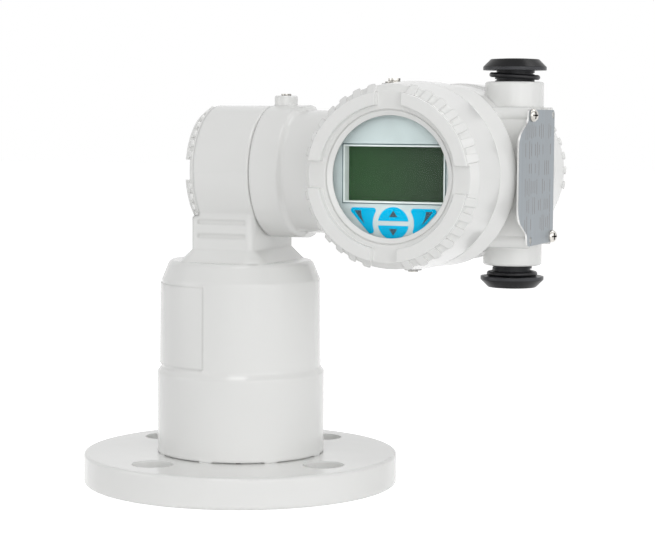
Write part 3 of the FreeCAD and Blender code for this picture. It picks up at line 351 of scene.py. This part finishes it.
# The flange takes the body's paint made 5% paler: painted light, standing in for the light the white floor
# bounces onto it
flangePaint = castPaint("flangePaint", paintSet["flangeEdge"], paintSet["flangeLift"])
nodes["flange"].data.materials[0] = flangePaint
ribPaint = castPaint("ribPaint", paintSet["ribEdge"])
for name in ("front_cover", "rear_cover"):
    nodes[name].data.materials[0] = ribPaint
nodes["front_window"].visible_shadow = False
nodes["process_window"].visible_shadow = False
print("finishes:", len(finishes))


# Mesh helpers: sizes are written in millimetres, meshes are in metres

meshSet = {"merge": 1e-7, "crease": math.radians(35), "cornerSteps": 5, "latheSteps": 72}


def addPiece(name, mesh, body, slotName, finish=None):
    mesh.materials.clear()
    mesh.materials.append(finish or finishes[slotName])
    piece = bpy.data.objects.new(name, mesh)
    scene.collection.objects.link(piece)
    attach(piece, body)
    return piece


def meshFrom(shape, name):
    bmesh.ops.remove_doubles(shape, verts=shape.verts, dist=meshSet["merge"])
    bmesh.ops.recalc_face_normals(shape, faces=shape.faces)
    mesh = bpy.data.meshes.new(name)
    shape.to_mesh(mesh)
    shape.free()
    mesh.shade_smooth()
    mesh.set_sharp_from_angle(angle=meshSet["crease"])
    return mesh


def bend(start, control, end, steps=8):
    # Points of a curve from start towards end, without the end itself
    points = []
    for step in range(steps):
        t = step / steps
        points.append(tuple((1 - t) ** 2 * a + 2 * t * (1 - t) * c + t * t * b
                            for a, c, b in zip(start, control, end)))
    return points


def roundCorners(corners):
    # Each corner is (radius, height) or (radius, height, round)
    outline = []
    for index, corner in enumerate(corners):
        if len(corner) == 2:
            outline.append(corner)
            continue
        middle = Vector(corner[:2])
        ends = []
        for beside in (corners[index - 1], corners[index + 1]):
            ends.append(middle + (Vector(beside[:2]) - middle).normalized() * corner[2])
        outline += bend(ends[0], middle, ends[1], meshSet["cornerSteps"]) + [tuple(ends[1])]
    return outline


def lathe(corners, steps=meshSet["latheSteps"]):
    shape = bmesh.new()
    outline = roundCorners(corners)
    points = [shape.verts.new((radius * mm, 0, height * mm)) for radius, height in outline]
    edges = [shape.edges.new(pair) for pair in zip(points, points[1:])]
    bmesh.ops.spin(shape, geom=points + edges, axis=(0, 0, 1), cent=(0, 0, 0), angle=math.tau, steps=steps)
    return shape


def slab(outline, start, stop, direction):
    # A flat outline pushed from start to stop along the direction, drawn in the other two axes
    shape = bmesh.new()
    across = [axis for axis in range(3) if axis != direction]
    rings = []
    for level in (start, stop):
        ring = []
        for pair in outline:
            point = Vector((0, 0, 0))
            point[direction] = level
            for axis, value in zip(across, pair):
                point[axis] = value
            ring.append(shape.verts.new(point))
        rings.append(ring)
        shape.faces.new(ring)
    for index in range(len(outline)):
        pair = [rings[0][index - 1], rings[0][index], rings[1][index], rings[1][index - 1]]
        shape.faces.new(pair)
    return shape


def joinRings(shape, rings):
    # Walls from ring to ring, and a cap at both ends
    for first, second in zip(rings, rings[1:]):
        for index in range(len(first)):
            shape.faces.new((first[index - 1], first[index], second[index], second[index - 1]))
    shape.faces.new(rings[0])
    shape.faces.new(rings[-1])


# Geometry Nodes helpers

def startTree(name, inputs):
    tree = bpy.data.node_groups.new(name, "GeometryNodeTree")
    for label, (kind, value) in inputs.items():
        socket = tree.interface.new_socket(label, in_out="INPUT", socket_type="NodeSocket" + kind)
        if value is not None:
            socket.default_value = value
    tree.interface.new_socket("Mesh", in_out="OUTPUT", socket_type="NodeSocketGeometry")
    return tree, tree.nodes.new("NodeGroupInput").outputs


def endTree(tree, geometry, finish):
    whole = addNode(tree, "GeometryNodeRealizeInstances", {"Geometry": geometry})
    painted = addNode(tree, "GeometryNodeSetMaterial", {"Geometry": whole.outputs[0], "Material": finish})
    addNode(tree, "NodeGroupOutput", {"Mesh": painted.outputs[0]})
    return tree


def growMesh(name, tree, values, place=None):
    holder = bpy.data.objects.new(name, bpy.data.meshes.new(name))
    scene.collection.objects.link(holder)
    grower = holder.modifiers.new("grow", "NODES")
    grower.node_group = tree
    for item in tree.interface.items_tree:
        if item.in_out == "INPUT" and item.name in values:
            grower[item.identifier] = values[item.name]
    mesh = bpy.data.meshes.new_from_object(holder.evaluated_get(bpy.context.evaluated_depsgraph_get()))
    holder.modifiers.clear()
    bpy.data.objects.remove(holder)
    if place:
        mesh.transform(place)
    mesh.shade_smooth()
    mesh.set_sharp_from_angle(angle=meshSet["crease"])
    return mesh


def threadTree(name, finish):
    # A three-cornered ridge wound right-handed about Z, upwards from the origin
    tree, inputs = startTree(name, {
        "Root Radius": ("Float", 0.01), "Pitch": ("Float", 0.002), "Turns": ("Float", 5.0),
        "Ridge": ("Float", 0.001), "Steps": ("Int", 60)})
    height = addMath(tree, "MULTIPLY", inputs["Pitch"], inputs["Turns"])
    winding = addNode(tree, "GeometryNodeCurveSpiral", {
        "Resolution": inputs["Steps"], "Rotations": inputs["Turns"], "Start Radius": inputs["Root Radius"],
        "End Radius": inputs["Root Radius"], "Height": height})
    upright = addNode(tree, "GeometryNodeSetCurveNormal", {"Curve": winding.outputs[0]})
    upright.mode = "Z_UP"
    section = addNode(tree, "GeometryNodeCurvePrimitiveCircle", {"Resolution": 3, "Radius": inputs["Ridge"]})
    ridge = addNode(tree, "GeometryNodeCurveToMesh", {
        "Curve": upright.outputs[0], "Profile Curve": section.outputs[0], "Fill Caps": True})
    return endTree(tree, ridge.outputs[0], finish)


# Screw plugs of the conduit entries, standing a few turns out of their bosses

plugSet = {
    "thread": 12.0, "gap": 5.8, "brim": 1.7, "crown": 3.9, "dome": 0.4, "core": 9.3, "crest": 10.45,
    "pitch": 2.1, "threadEnd": -103.0, "steps": 48, "edge": 0.15, "domeTip": 1.2,
}
plugTurns = (plugSet["thread"] + plugSet["gap"]) / plugSet["pitch"]


def addPlug(node, side):
    low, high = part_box(node)
    radius = (high.x - low.x) / 2 / mm
    top = plugSet["gap"] + plugSet["brim"]
    crown = top + plugSet["crown"]
    core = plugSet["core"]
    edge = plugSet["edge"]
    profile = [
        (0, -plugSet["thread"]), (core, -plugSet["thread"], edge), (core, plugSet["gap"]),
        (radius - edge, plugSet["gap"]), (radius, plugSet["gap"] + edge), (radius, top, edge),
        (radius - plugSet["crown"], crown, 2 * edge), (radius / 3, crown + plugSet["dome"]),
        (0, crown + plugSet["dome"] * plugSet["domeTip"]),
    ]
    body = meshFrom(lathe(profile), node + "Body")
    start = Matrix.Rotation(math.radians(plugSet["threadEnd"] - 360 * plugTurns), 4, "Z")
    rise = plugSet["crest"] - core  # the ridge's middle lies a third of this out from the core
    ridge = growMesh(node + "Thread", threadTree(node + "Thread", finishes["plug_plastic"]), {
        "Root Radius": (core + rise / 3) * mm, "Ridge": rise * 2 / 3 * mm,
        "Pitch": plugSet["pitch"] * mm, "Turns": plugTurns, "Steps": plugSet["steps"],
    }, Matrix.Translation((0, 0, -plugSet["thread"] * mm)) @ start)
    shape = bmesh.new()
    shape.from_mesh(body)
    shape.from_mesh(ridge)
    mesh = bpy.data.meshes.new(node + "Screw")
    shape.to_mesh(mesh)
    shape.free()
    # The boss face lies the crown's height inside the node's outer end
    face = high.z - crown * mm if side > 0 else low.z + crown * mm
    turn = Matrix.Identity(4) if side > 0 else Matrix.Rotation(math.pi, 4, "X")
    mesh.transform(Matrix.Translation(((low.x + high.x) / 2, (low.y + high.y) / 2, face)) @ turn)
    mesh.set_sharp_from_angle(angle=meshSet["crease"])
    plug = addPiece(node.replace("_plug", "ScrewPlug"), mesh, node, "plug_plastic")
    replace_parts(plug, node)


addPlug("upper_plug", 1)
addPlug("lower_plug", -1)
print("plugs: 2, with", round(plugTurns, 1), "turns of thread each")


# Threads on the skirts of the covers and the end cap, seen when these are unscrewed

skirtSet = {
    "front_cover": {"radius": 41.0, "pitch": 2.0, "start": 0.6, "run": 9.6, "axis": "Y", "inner": 1},
    "rear_cover": {"radius": 41.0, "pitch": 2.0, "start": 0.6, "run": 9.6, "axis": "Y", "inner": -1},
    "end_cap": {"radius": 28.6, "pitch": 1.5, "start": 0.6, "run": 5.4, "axis": "X", "inner": 1},
}
skirtThread = {"ridge": 0.22, "steps": 96}


def addSkirtThread(node, sizes):
    low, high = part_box(node)
    middle = (low + high) / 2
    # The winding grows from the skirt's inner end towards the cover's face
    if sizes["axis"] == "Y":
        end = (middle.x, high.y if sizes["inner"] > 0 else low.y, middle.z)
        turn = Matrix.Rotation(math.radians(90 * sizes["inner"]), 4, "X")
    else:
        end = (high.x, middle.y, middle.z)
        turn = Matrix.Rotation(math.radians(-90), 4, "Y")
    lift = Matrix.Translation((0, 0, sizes["start"] * mm))
    mesh = growMesh(node + "Thread", threadTree(node + "Thread", finishes["enclosure_paint"]), {
        "Root Radius": sizes["radius"] * mm, "Pitch": sizes["pitch"] * mm,
        "Turns": sizes["run"] / sizes["pitch"], "Ridge": skirtThread["ridge"] * mm,
        "Steps": skirtThread["steps"],
    }, Matrix.Translation(end) @ turn @ lift)
    addPiece(node.replace("_", "") + "Thread", mesh, node, "enclosure_paint")


for name, sizes in skirtSet.items():
    addSkirtThread(name, sizes)
print("skirt threads:", len(skirtSet))


# Printed signs on the keys, and the dark line round the screen, part print and part painted shadow of the gap
# round the bezel

signSet = {
    "sink": 0.03, "rise": 0.1, "arrowHalf": 2.2,
    "upBase": 3.0, "upTip": 6.1, "downBase": -2.65, "downTip": -5.8,
    "wedgeOuter": (19.8, 5.9), "wedgeInner": (16.5, 5.9), "wedgeTip": (14.2, -0.6),
    "innerBend": (16.45, 2.35), "outerBend": (16.8, 1.35), "frameLine": 0.4,
}


def addSigns():
    up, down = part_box("up_key"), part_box("down_key")
    middle = Vector(((up[0].x + up[1].x) / 2, 0, (up[0].z + down[1].z) / 2))
    half = signSet["arrowHalf"]
    arrows = {
        "upSign": [(-half, signSet["upBase"]), (half, signSet["upBase"]), (0, signSet["upTip"])],
        "downSign": [(-half, signSet["downBase"]), (half, signSet["downBase"]), (0, signSet["downTip"])],
    }
    inner, outer, tip = signSet["wedgeInner"], signSet["wedgeOuter"], signSet["wedgeTip"]
    wedge = [outer] + bend(inner, signSet["innerBend"], tip) + bend(tip, signSet["outerBend"], outer)
    arrows["rightSign"] = wedge
    arrows["leftSign"] = [(-x, z) for x, z in wedge]
    face = up[0].y
    for name, outline in arrows.items():
        points = [(middle.x + x * mm, middle.z + z * mm) for x, z in outline]
        shape = slab(points, face + signSet["sink"] * mm, face - signSet["rise"] * mm, 1)
        addPiece(name, meshFrom(shape, name), "head", "key_film", inkFinish)


# A dark line round the bezel: partly print, partly painted shadow of the gap between bezel and fascia
def addFrameLine():
    low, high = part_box("lcd_bezel")
    line = signSet["frameLine"] * mm
    outer = [(low.x, low.z), (high.x, low.z), (high.x, high.z), (low.x, high.z)]
    inner = [(low.x + line, low.z + line), (high.x - line, low.z + line),
             (high.x - line, high.z - line), (low.x + line, high.z - line)]
    shape = bmesh.new()
    rings = []
    for level in (low.y + signSet["sink"] * mm, low.y - signSet["rise"] * mm):
        rings.append([[shape.verts.new((x, level, z)) for x, z in loop] for loop in (outer, inner)])
    for index in range(4):
        for first, second in ((rings[0][0], rings[0][1]), (rings[1][0], rings[1][1]),
                              (rings[0][0], rings[1][0]), (rings[0][1], rings[1][1])):
            shape.faces.new((first[index - 1], first[index], second[index], second[index - 1]))
    addPiece("screenLine", meshFrom(shape, "screenLine"), "head", "bezel_plastic", frameInk)


addSigns()
addFrameLine()
print("signs: 4 keys and the screen's line")


# Rows of blank etched dashes on the rating plate

rowSet = {
    "rows": 14, "dashes": 6, "across": 44.0, "along": 46.0, "middle": (9.5, 162.8),
    "width": 0.36, "rise": 0.03, "shortest": 0.5, "longest": 0.98, "kept": 0.66, "seed": 7,
}


def rowTree():
    tree, inputs = startTree("plateRows", {
        "Across": ("Float", 0.04), "Along": ("Float", 0.05), "Rows": ("Int", 8), "Dashes": ("Int", 8),
        "Dash Width": ("Float", 0.0004), "Rise": ("Float", 0.00003), "Shortest": ("Float", 0.3),
        "Longest": ("Float", 1.0), "Kept Share": ("Float", 0.6), "Seed": ("Int", 1)})
    field = addNode(tree, "GeometryNodeMeshGrid", {
        "Size X": inputs["Across"], "Size Y": inputs["Along"],
        "Vertices X": inputs["Rows"], "Vertices Y": inputs["Dashes"]})
    spots = addNode(tree, "GeometryNodeMeshToPoints", {"Mesh": field.outputs[0]})
    chance = addNode(tree, "FunctionNodeRandomValue", {"Seed": inputs["Seed"]})
    chance.data_type = "BOOLEAN"
    tree.links.new(inputs["Kept Share"], next(s for s in chance.inputs if s.name == "Probability"))
    length = addNode(tree, "FunctionNodeRandomValue", {"Seed": addMath(tree, "ADD", inputs["Seed"], 1.0)})
    length.data_type = "FLOAT"
    ends = [s for s in length.inputs if s.type == "VALUE" and s.name in ("Min", "Max")]
    tree.links.new(inputs["Shortest"], ends[0])
    tree.links.new(inputs["Longest"], ends[1])
    stretch = addNode(tree, "ShaderNodeCombineXYZ", {"X": 1.0, "Z": 1.0})
    tree.links.new(next(s for s in length.outputs if s.type == "VALUE"), stretch.inputs["Y"])
    pitch = addMath(tree, "DIVIDE", inputs["Along"], addMath(tree, "SUBTRACT", inputs["Dashes"], 1.0))
    size = addNode(tree, "ShaderNodeCombineXYZ", {"X": inputs["Dash Width"], "Y": pitch, "Z": inputs["Rise"]})
    dash = addNode(tree, "GeometryNodeMeshCube", {"Size": size.outputs[0]})
    rows = addNode(tree, "GeometryNodeInstanceOnPoints", {
        "Points": spots.outputs[0], "Instance": dash.outputs[0], "Scale": stretch.outputs[0]})
    tree.links.new(next(s for s in chance.outputs if s.type == "BOOLEAN"), rows.inputs["Selection"])
    return endTree(tree, rows.outputs[0], etchFinish)


def addPlateRows():
    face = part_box("name_plate")[1].x
    middleY, middleZ = (part * mm for part in rowSet["middle"])
    # The rows' own X and Y become the plate's Y and Z
    turn = Matrix(((0, 0, 1, face), (1, 0, 0, middleY), (0, 1, 0, middleZ), (0, 0, 0, 1)))
    mesh = growMesh("plateRows", rowTree(), {
        "Across": rowSet["across"] * mm, "Along": rowSet["along"] * mm, "Rows": rowSet["rows"],
        "Dashes": rowSet["dashes"], "Dash Width": rowSet["width"] * mm, "Rise": 2 * rowSet["rise"] * mm,
        "Shortest": rowSet["shortest"], "Longest": rowSet["longest"], "Kept Share": rowSet["kept"],
        "Seed": rowSet["seed"],
    }, turn)
    addPiece("plateRows", mesh, "head", "plate_steel", etchFinish)
    return len(mesh.polygons) // 6  # six faces to a dash


print("plate rows:", addPlateRows(), "dashes")


# Cross-slotted pan screws of the rating plate

panSet = {
    "shank": 1.7, "shankEdge": 0.4, "headRadius": 3.25, "headHeight": 2.5, "brim": (0.2, 0.25),
    "domePull": (0.97, 0.95), "domeSteps": 8, "steps": 40, "slotWidth": 0.75, "slotReach": 1.75,
    "slotDepth": 1.3, "slotClear": 1.0, "turn": 28.0, "count": 2,
}


def panScrewProfile(length):
    radius, height, shank = panSet["headRadius"], panSet["headHeight"], panSet["shank"]
    brimIn, brimUp = panSet["brim"]
    pull = (radius * panSet["domePull"][0], height * panSet["domePull"][1])
    profile = [(0, -length), (shank, -length, panSet["shankEdge"]), (shank, 0)]
    profile += [(radius - brimIn, 0), (radius, brimUp)]
    return profile + bend((radius, brimUp), pull, (0, height), panSet["domeSteps"]) + [(0, height)]


def panScrewModel(length):
    # One screw along Z with its cross slot cut out
    profile = panScrewProfile(length)
    screw = bpy.data.objects.new("panScrew", meshFrom(lathe(profile, panSet["steps"]), "panScrew"))
    scene.collection.objects.link(screw)
    half, reach = panSet["slotWidth"] / 2 * mm, panSet["slotReach"] * mm
    cross = [(half, half), (half, reach), (-half, reach), (-half, half), (-reach, half), (-reach, -half),
             (-half, -half), (-half, -reach), (half, -reach), (half, -half), (reach, -half), (reach, half)]
    floor = (panSet["headHeight"] - panSet["slotDepth"]) * mm
    roof = (panSet["headHeight"] + panSet["slotClear"]) * mm
    cutter = bpy.data.objects.new("panSlot", meshFrom(slab(cross, floor, roof, 2), "panSlot"))
    scene.collection.objects.link(cutter)
    cut = screw.modifiers.new("slot", "BOOLEAN")
    cut.operation = "DIFFERENCE"
    cut.solver = "EXACT"
    cut.object = cutter
    slotted = bpy.data.meshes.new_from_object(screw.evaluated_get(bpy.context.evaluated_depsgraph_get()))
    screw.modifiers.clear()
    bpy.data.objects.remove(cutter)
    screw.data = slotted
    return screw


def screwPairTree():
    tree, inputs = startTree("screwPair", {
        "Screw": ("Object", None), "First": ("Vector", (0, 0, 0)), "Last": ("Vector", (0, 0, 0)),
        "Count": ("Int", 2)})
    line = addNode(tree, "GeometryNodeMeshLine", {
        "Count": inputs["Count"], "Start Location": inputs["First"]})
    line.mode = "END_POINTS"
    tree.links.new(inputs["Last"], line.inputs["Offset"])
    model = addNode(tree, "GeometryNodeObjectInfo", {"Object": inputs["Screw"]})
    pair = addNode(tree, "GeometryNodeInstanceOnPoints", {
        "Points": line.outputs[0], "Instance": model.outputs["Geometry"],
        "Rotation": (math.radians(panSet["turn"]), math.radians(90), 0)})
    return endTree(tree, pair.outputs[0], finishes["screw_steel"])


def addPlateScrews():
    low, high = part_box("plate_screws")
    radius, height = panSet["headRadius"], panSet["headHeight"]
    screw = panScrewModel((high.x - low.x) / mm - height)
    seat = high.x - height * mm
    first = (seat, low.y + radius * mm, high.z - radius * mm)
    last = (seat, high.y - radius * mm, low.z + radius * mm)
    mesh = growMesh("plateScrews", screwPairTree(), {
        "Screw": screw, "First": first, "Last": last, "Count": panSet["count"]})
    bpy.data.objects.remove(screw)
    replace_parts(addPiece("panScrews", mesh, "head", "screw_steel"), "plate_screws")


addPlateScrews()
print("plate screws:", panSet["count"])


# The casting's web behind the rating plate, between the posts that carry it

webSet = {
    "stand": 0.1, "depth": 30.0, "front": -5.2, "rear": 39.0, "middle": 162.8, "half": 33.4,
    "edge": 1.2, "segments": 4,
}


def addPlateWeb():
    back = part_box("name_plate")[0].x - webSet["stand"] * mm
    low, high = webSet["middle"] - webSet["half"], webSet["middle"] + webSet["half"]
    outline = [(y * mm, z * mm) for y, z in (
        (webSet["front"], low), (webSet["rear"], low), (webSet["rear"], high), (webSet["front"], high))]
    shape = slab(outline, back - webSet["depth"] * mm, back, 0)
    bmesh.ops.bevel(shape, geom=shape.edges[:], offset=webSet["edge"] * mm, segments=webSet["segments"],
                    affect="EDGES", profile=0.5)
    addPiece("plateWeb", meshFrom(shape, "plateWeb"), "head", "enclosure_paint", bodyPaint)


addPlateWeb()
print("plate web: 1")


# Both ends of the barrel's fairing, where the casting sinks back into the barrel

fairingSet = {
    "axis": (106.0, 164.0), "barrel": 46.0, "sunk": 45.5, "front": -33.0, "crest": 50.0, "crestAt": -19.0,
    "crestRound": 1.6, "tail": -13.0, "start": 41.0, "cover": 45.0, "cut": 50.0, "end": 84.0, "steps": 30,
    "under": -0.08, "over": 0.05, "root": 1.0, "tailRoot": 0.5,
}


def fairingSection(share, offset):
    # From the full form at share 0 to one that lies inside the barrel at share 1
    sunk = fairingSet["sunk"]
    front = fairingSet["barrel"] + offset + (sunk - fairingSet["barrel"]) * share
    crest = fairingSet["crest"] + offset + (sunk - fairingSet["crest"]) * share
    root = sunk - fairingSet["root"]
    corners = [(root, fairingSet["front"]), (front, fairingSet["front"]),
               (crest, fairingSet["crestAt"], fairingSet["crestRound"]),
               (sunk - fairingSet["tailRoot"], fairingSet["tail"]), (root, fairingSet["tail"])]
    return roundCorners(corners)


def addFairingEnds():
    middle, level = fairingSet["axis"]
    stations = [(fairingSet["start"], 0, fairingSet["under"]), (fairingSet["cover"], 0, fairingSet["over"])]
    for step in range(fairingSet["steps"] + 1):
        t = step / fairingSet["steps"]
        angle = fairingSet["cut"] + (fairingSet["end"] - fairingSet["cut"]) * t
        eased = t * t * (3 - 2 * t)
        stations.append((angle, eased, fairingSet["over"] * (1 - t)))
    shape = bmesh.new()
    for side in (-1, 1):
        rings = []
        for angle, share, offset in stations:
            across, up = math.cos(math.radians(angle)), side * math.sin(math.radians(angle))
            ring = []
            for radius, y in fairingSection(share, offset):
                point = (middle + radius * across, y, level + radius * up)
                ring.append(shape.verts.new([part * mm for part in point]))
            rings.append(ring)
        joinRings(shape, rings)
    addPiece("fairingEnds", meshFrom(shape, "fairingEnds"), "head", "enclosure_paint", bodyPaint)


addFairingEnds()
print("fairing ends: 2")


# Parting line of the mould along both sides of the elbow

partingSet = {
    "radius": 33.8, "start": -11.4, "stop": 18.4, "fade": 3.0, "endShare": 0.2, "half": 0.6, "flat": 0.3,
    "rise": 0.03, "sink": 0.05, "axis": 164.0,
}


def addPartingLine():
    start, stop, fade = partingSet["start"], partingSet["stop"], partingSet["fade"]
    low = partingSet["endShare"]
    half = partingSet["half"]
    flat = half * partingSet["flat"]
    axis = partingSet["axis"]
    shape = bmesh.new()
    for side in (-1, 1):
        rings = []
        for x, share in ((start, low), (start + fade, 1.0), (stop - fade, 1.0), (stop, low)):
            outside = side * (partingSet["radius"] + partingSet["rise"] * share)
            inside = side * (partingSet["radius"] - partingSet["sink"])
            section = [(inside, -half), (outside, -flat), (outside, flat), (inside, half)]
            rings.append([shape.verts.new((x * mm, y * mm, (axis + z) * mm)) for y, z in section])
        joinRings(shape, rings)
    addPiece("partingLine", meshFrom(shape, "partingLine"), "base", "enclosure_paint")


addPartingLine()
print("parting line: 2 sides")


# Floor, light and camera

stageSet = {"size": 12.0, "tone": 0.94, "rough": 0.9, "shine": 0.1, "lift": 0.66, "ambient": 0.36}


def backgroundRay(tree):
    # 1 for what the camera sees, directly, in a reflection or through glass
    path = addNode(tree, "ShaderNodeLightPath").outputs
    seen = addMath(tree, "MAXIMUM", path["Is Camera Ray"], path["Is Glossy Ray"])
    return addMath(tree, "MAXIMUM", seen, path["Is Transmission Ray"])


def addFloor():
    half = stageSet["size"] / 2
    shape = bmesh.new()
    shape.faces.new([shape.verts.new(corner) for corner in
                     ((-half, -half, 0), (half, -half, 0), (half, half, 0), (-half, half, 0))])
    floor = bpy.data.objects.new("studioFloor", bpy.data.meshes.new("studioFloor"))
    shape.to_mesh(floor.data)
    shape.free()
    scene.collection.objects.link(floor)
    material, tree, shader = startFinish("studioFloor", {
        "Base Color": (stageSet["tone"],) * 3 + (1,), "Roughness": stageSet["rough"],
        "Specular IOR Level": stageSet["shine"], "Emission Color": (1, 1, 1, 1)})
    lift = addMath(tree, "MULTIPLY", backgroundRay(tree), stageSet["lift"])
    tree.links.new(lift, shader.inputs["Emission Strength"])
    floor.data.materials.append(material)


def addWorld():
    world = bpy.data.worlds.new("studioWhite")
    world.use_nodes = True
    tree = world.node_tree
    tree.nodes.clear()
    dim = addNode(tree, "ShaderNodeBackground", {"Color": (1, 1, 1, 1), "Strength": stageSet["ambient"]})
    white = addNode(tree, "ShaderNodeBackground", {"Color": (1, 1, 1, 1), "Strength": 1.0})
    mix = addNode(tree, "ShaderNodeMixShader", {
        0: backgroundRay(tree), 1: dim.outputs[0], 2: white.outputs[0]})
    addNode(tree, "ShaderNodeOutputWorld", {"Surface": mix.outputs[0]})
    scene.world = world


lampSet = {
    "topBox": {"place": (0.2, -0.62, 1.45), "size": 0.45, "power": 2.8},
    "leftBox": {"place": (-1.4, -1.0, 0.4), "size": 1.0, "power": 3.8},
    "rightBox": {"place": (1.5, -0.7, 0.4), "size": 1.4, "power": 6.8},
    "backBox": {"place": (0.75, 0.45, 1.4), "size": 0.5, "power": 2.2},
    "frontBox": {"place": (0.9, -1.7, 0.3), "size": 1.5, "power": 8.4},
}


def addLamps():
    target = (cadBox[0] + cadBox[1]) / 2
    for name, lamp in lampSet.items():
        light = bpy.data.lights.new(name, "AREA")
        light.shape = "SQUARE"
        light.size = lamp["size"]
        light.energy = lamp["power"]
        holder = bpy.data.objects.new(name, light)
        holder.location = lamp["place"]
        holder.rotation_euler = (target - holder.location).to_track_quat("-Z", "Y").to_euler()
        scene.collection.objects.link(holder)


cameraSet = {
    "place": (0.4289, -0.9299, 0.1927), "heading": 22.22, "pitch": 4.81, "roll": 0.35,
    "lens": 107.2, "sensor": 36.0, "nearest": 0.05,
}


def addCamera():
    camera = bpy.data.cameras.new("photoCamera")
    camera.lens = cameraSet["lens"]
    camera.sensor_width = cameraSet["sensor"]
    camera.clip_start = cameraSet["nearest"]
    holder = bpy.data.objects.new("photoCamera", camera)
    turn = Matrix.Rotation(math.radians(cameraSet["heading"]), 4, "Z")
    nod = Matrix.Rotation(math.radians(90 - cameraSet["pitch"]), 4, "X")
    lean = Matrix.Rotation(math.radians(cameraSet["roll"]), 4, "Z")
    holder.matrix_world = Matrix.Translation(cameraSet["place"]) @ turn @ nod @ lean
    scene.collection.objects.link(holder)
    scene.camera = holder


addFloor()
addWorld()
addLamps()
addCamera()
print("stage: floor, world,", len(lampSet), "lamps and the camera")
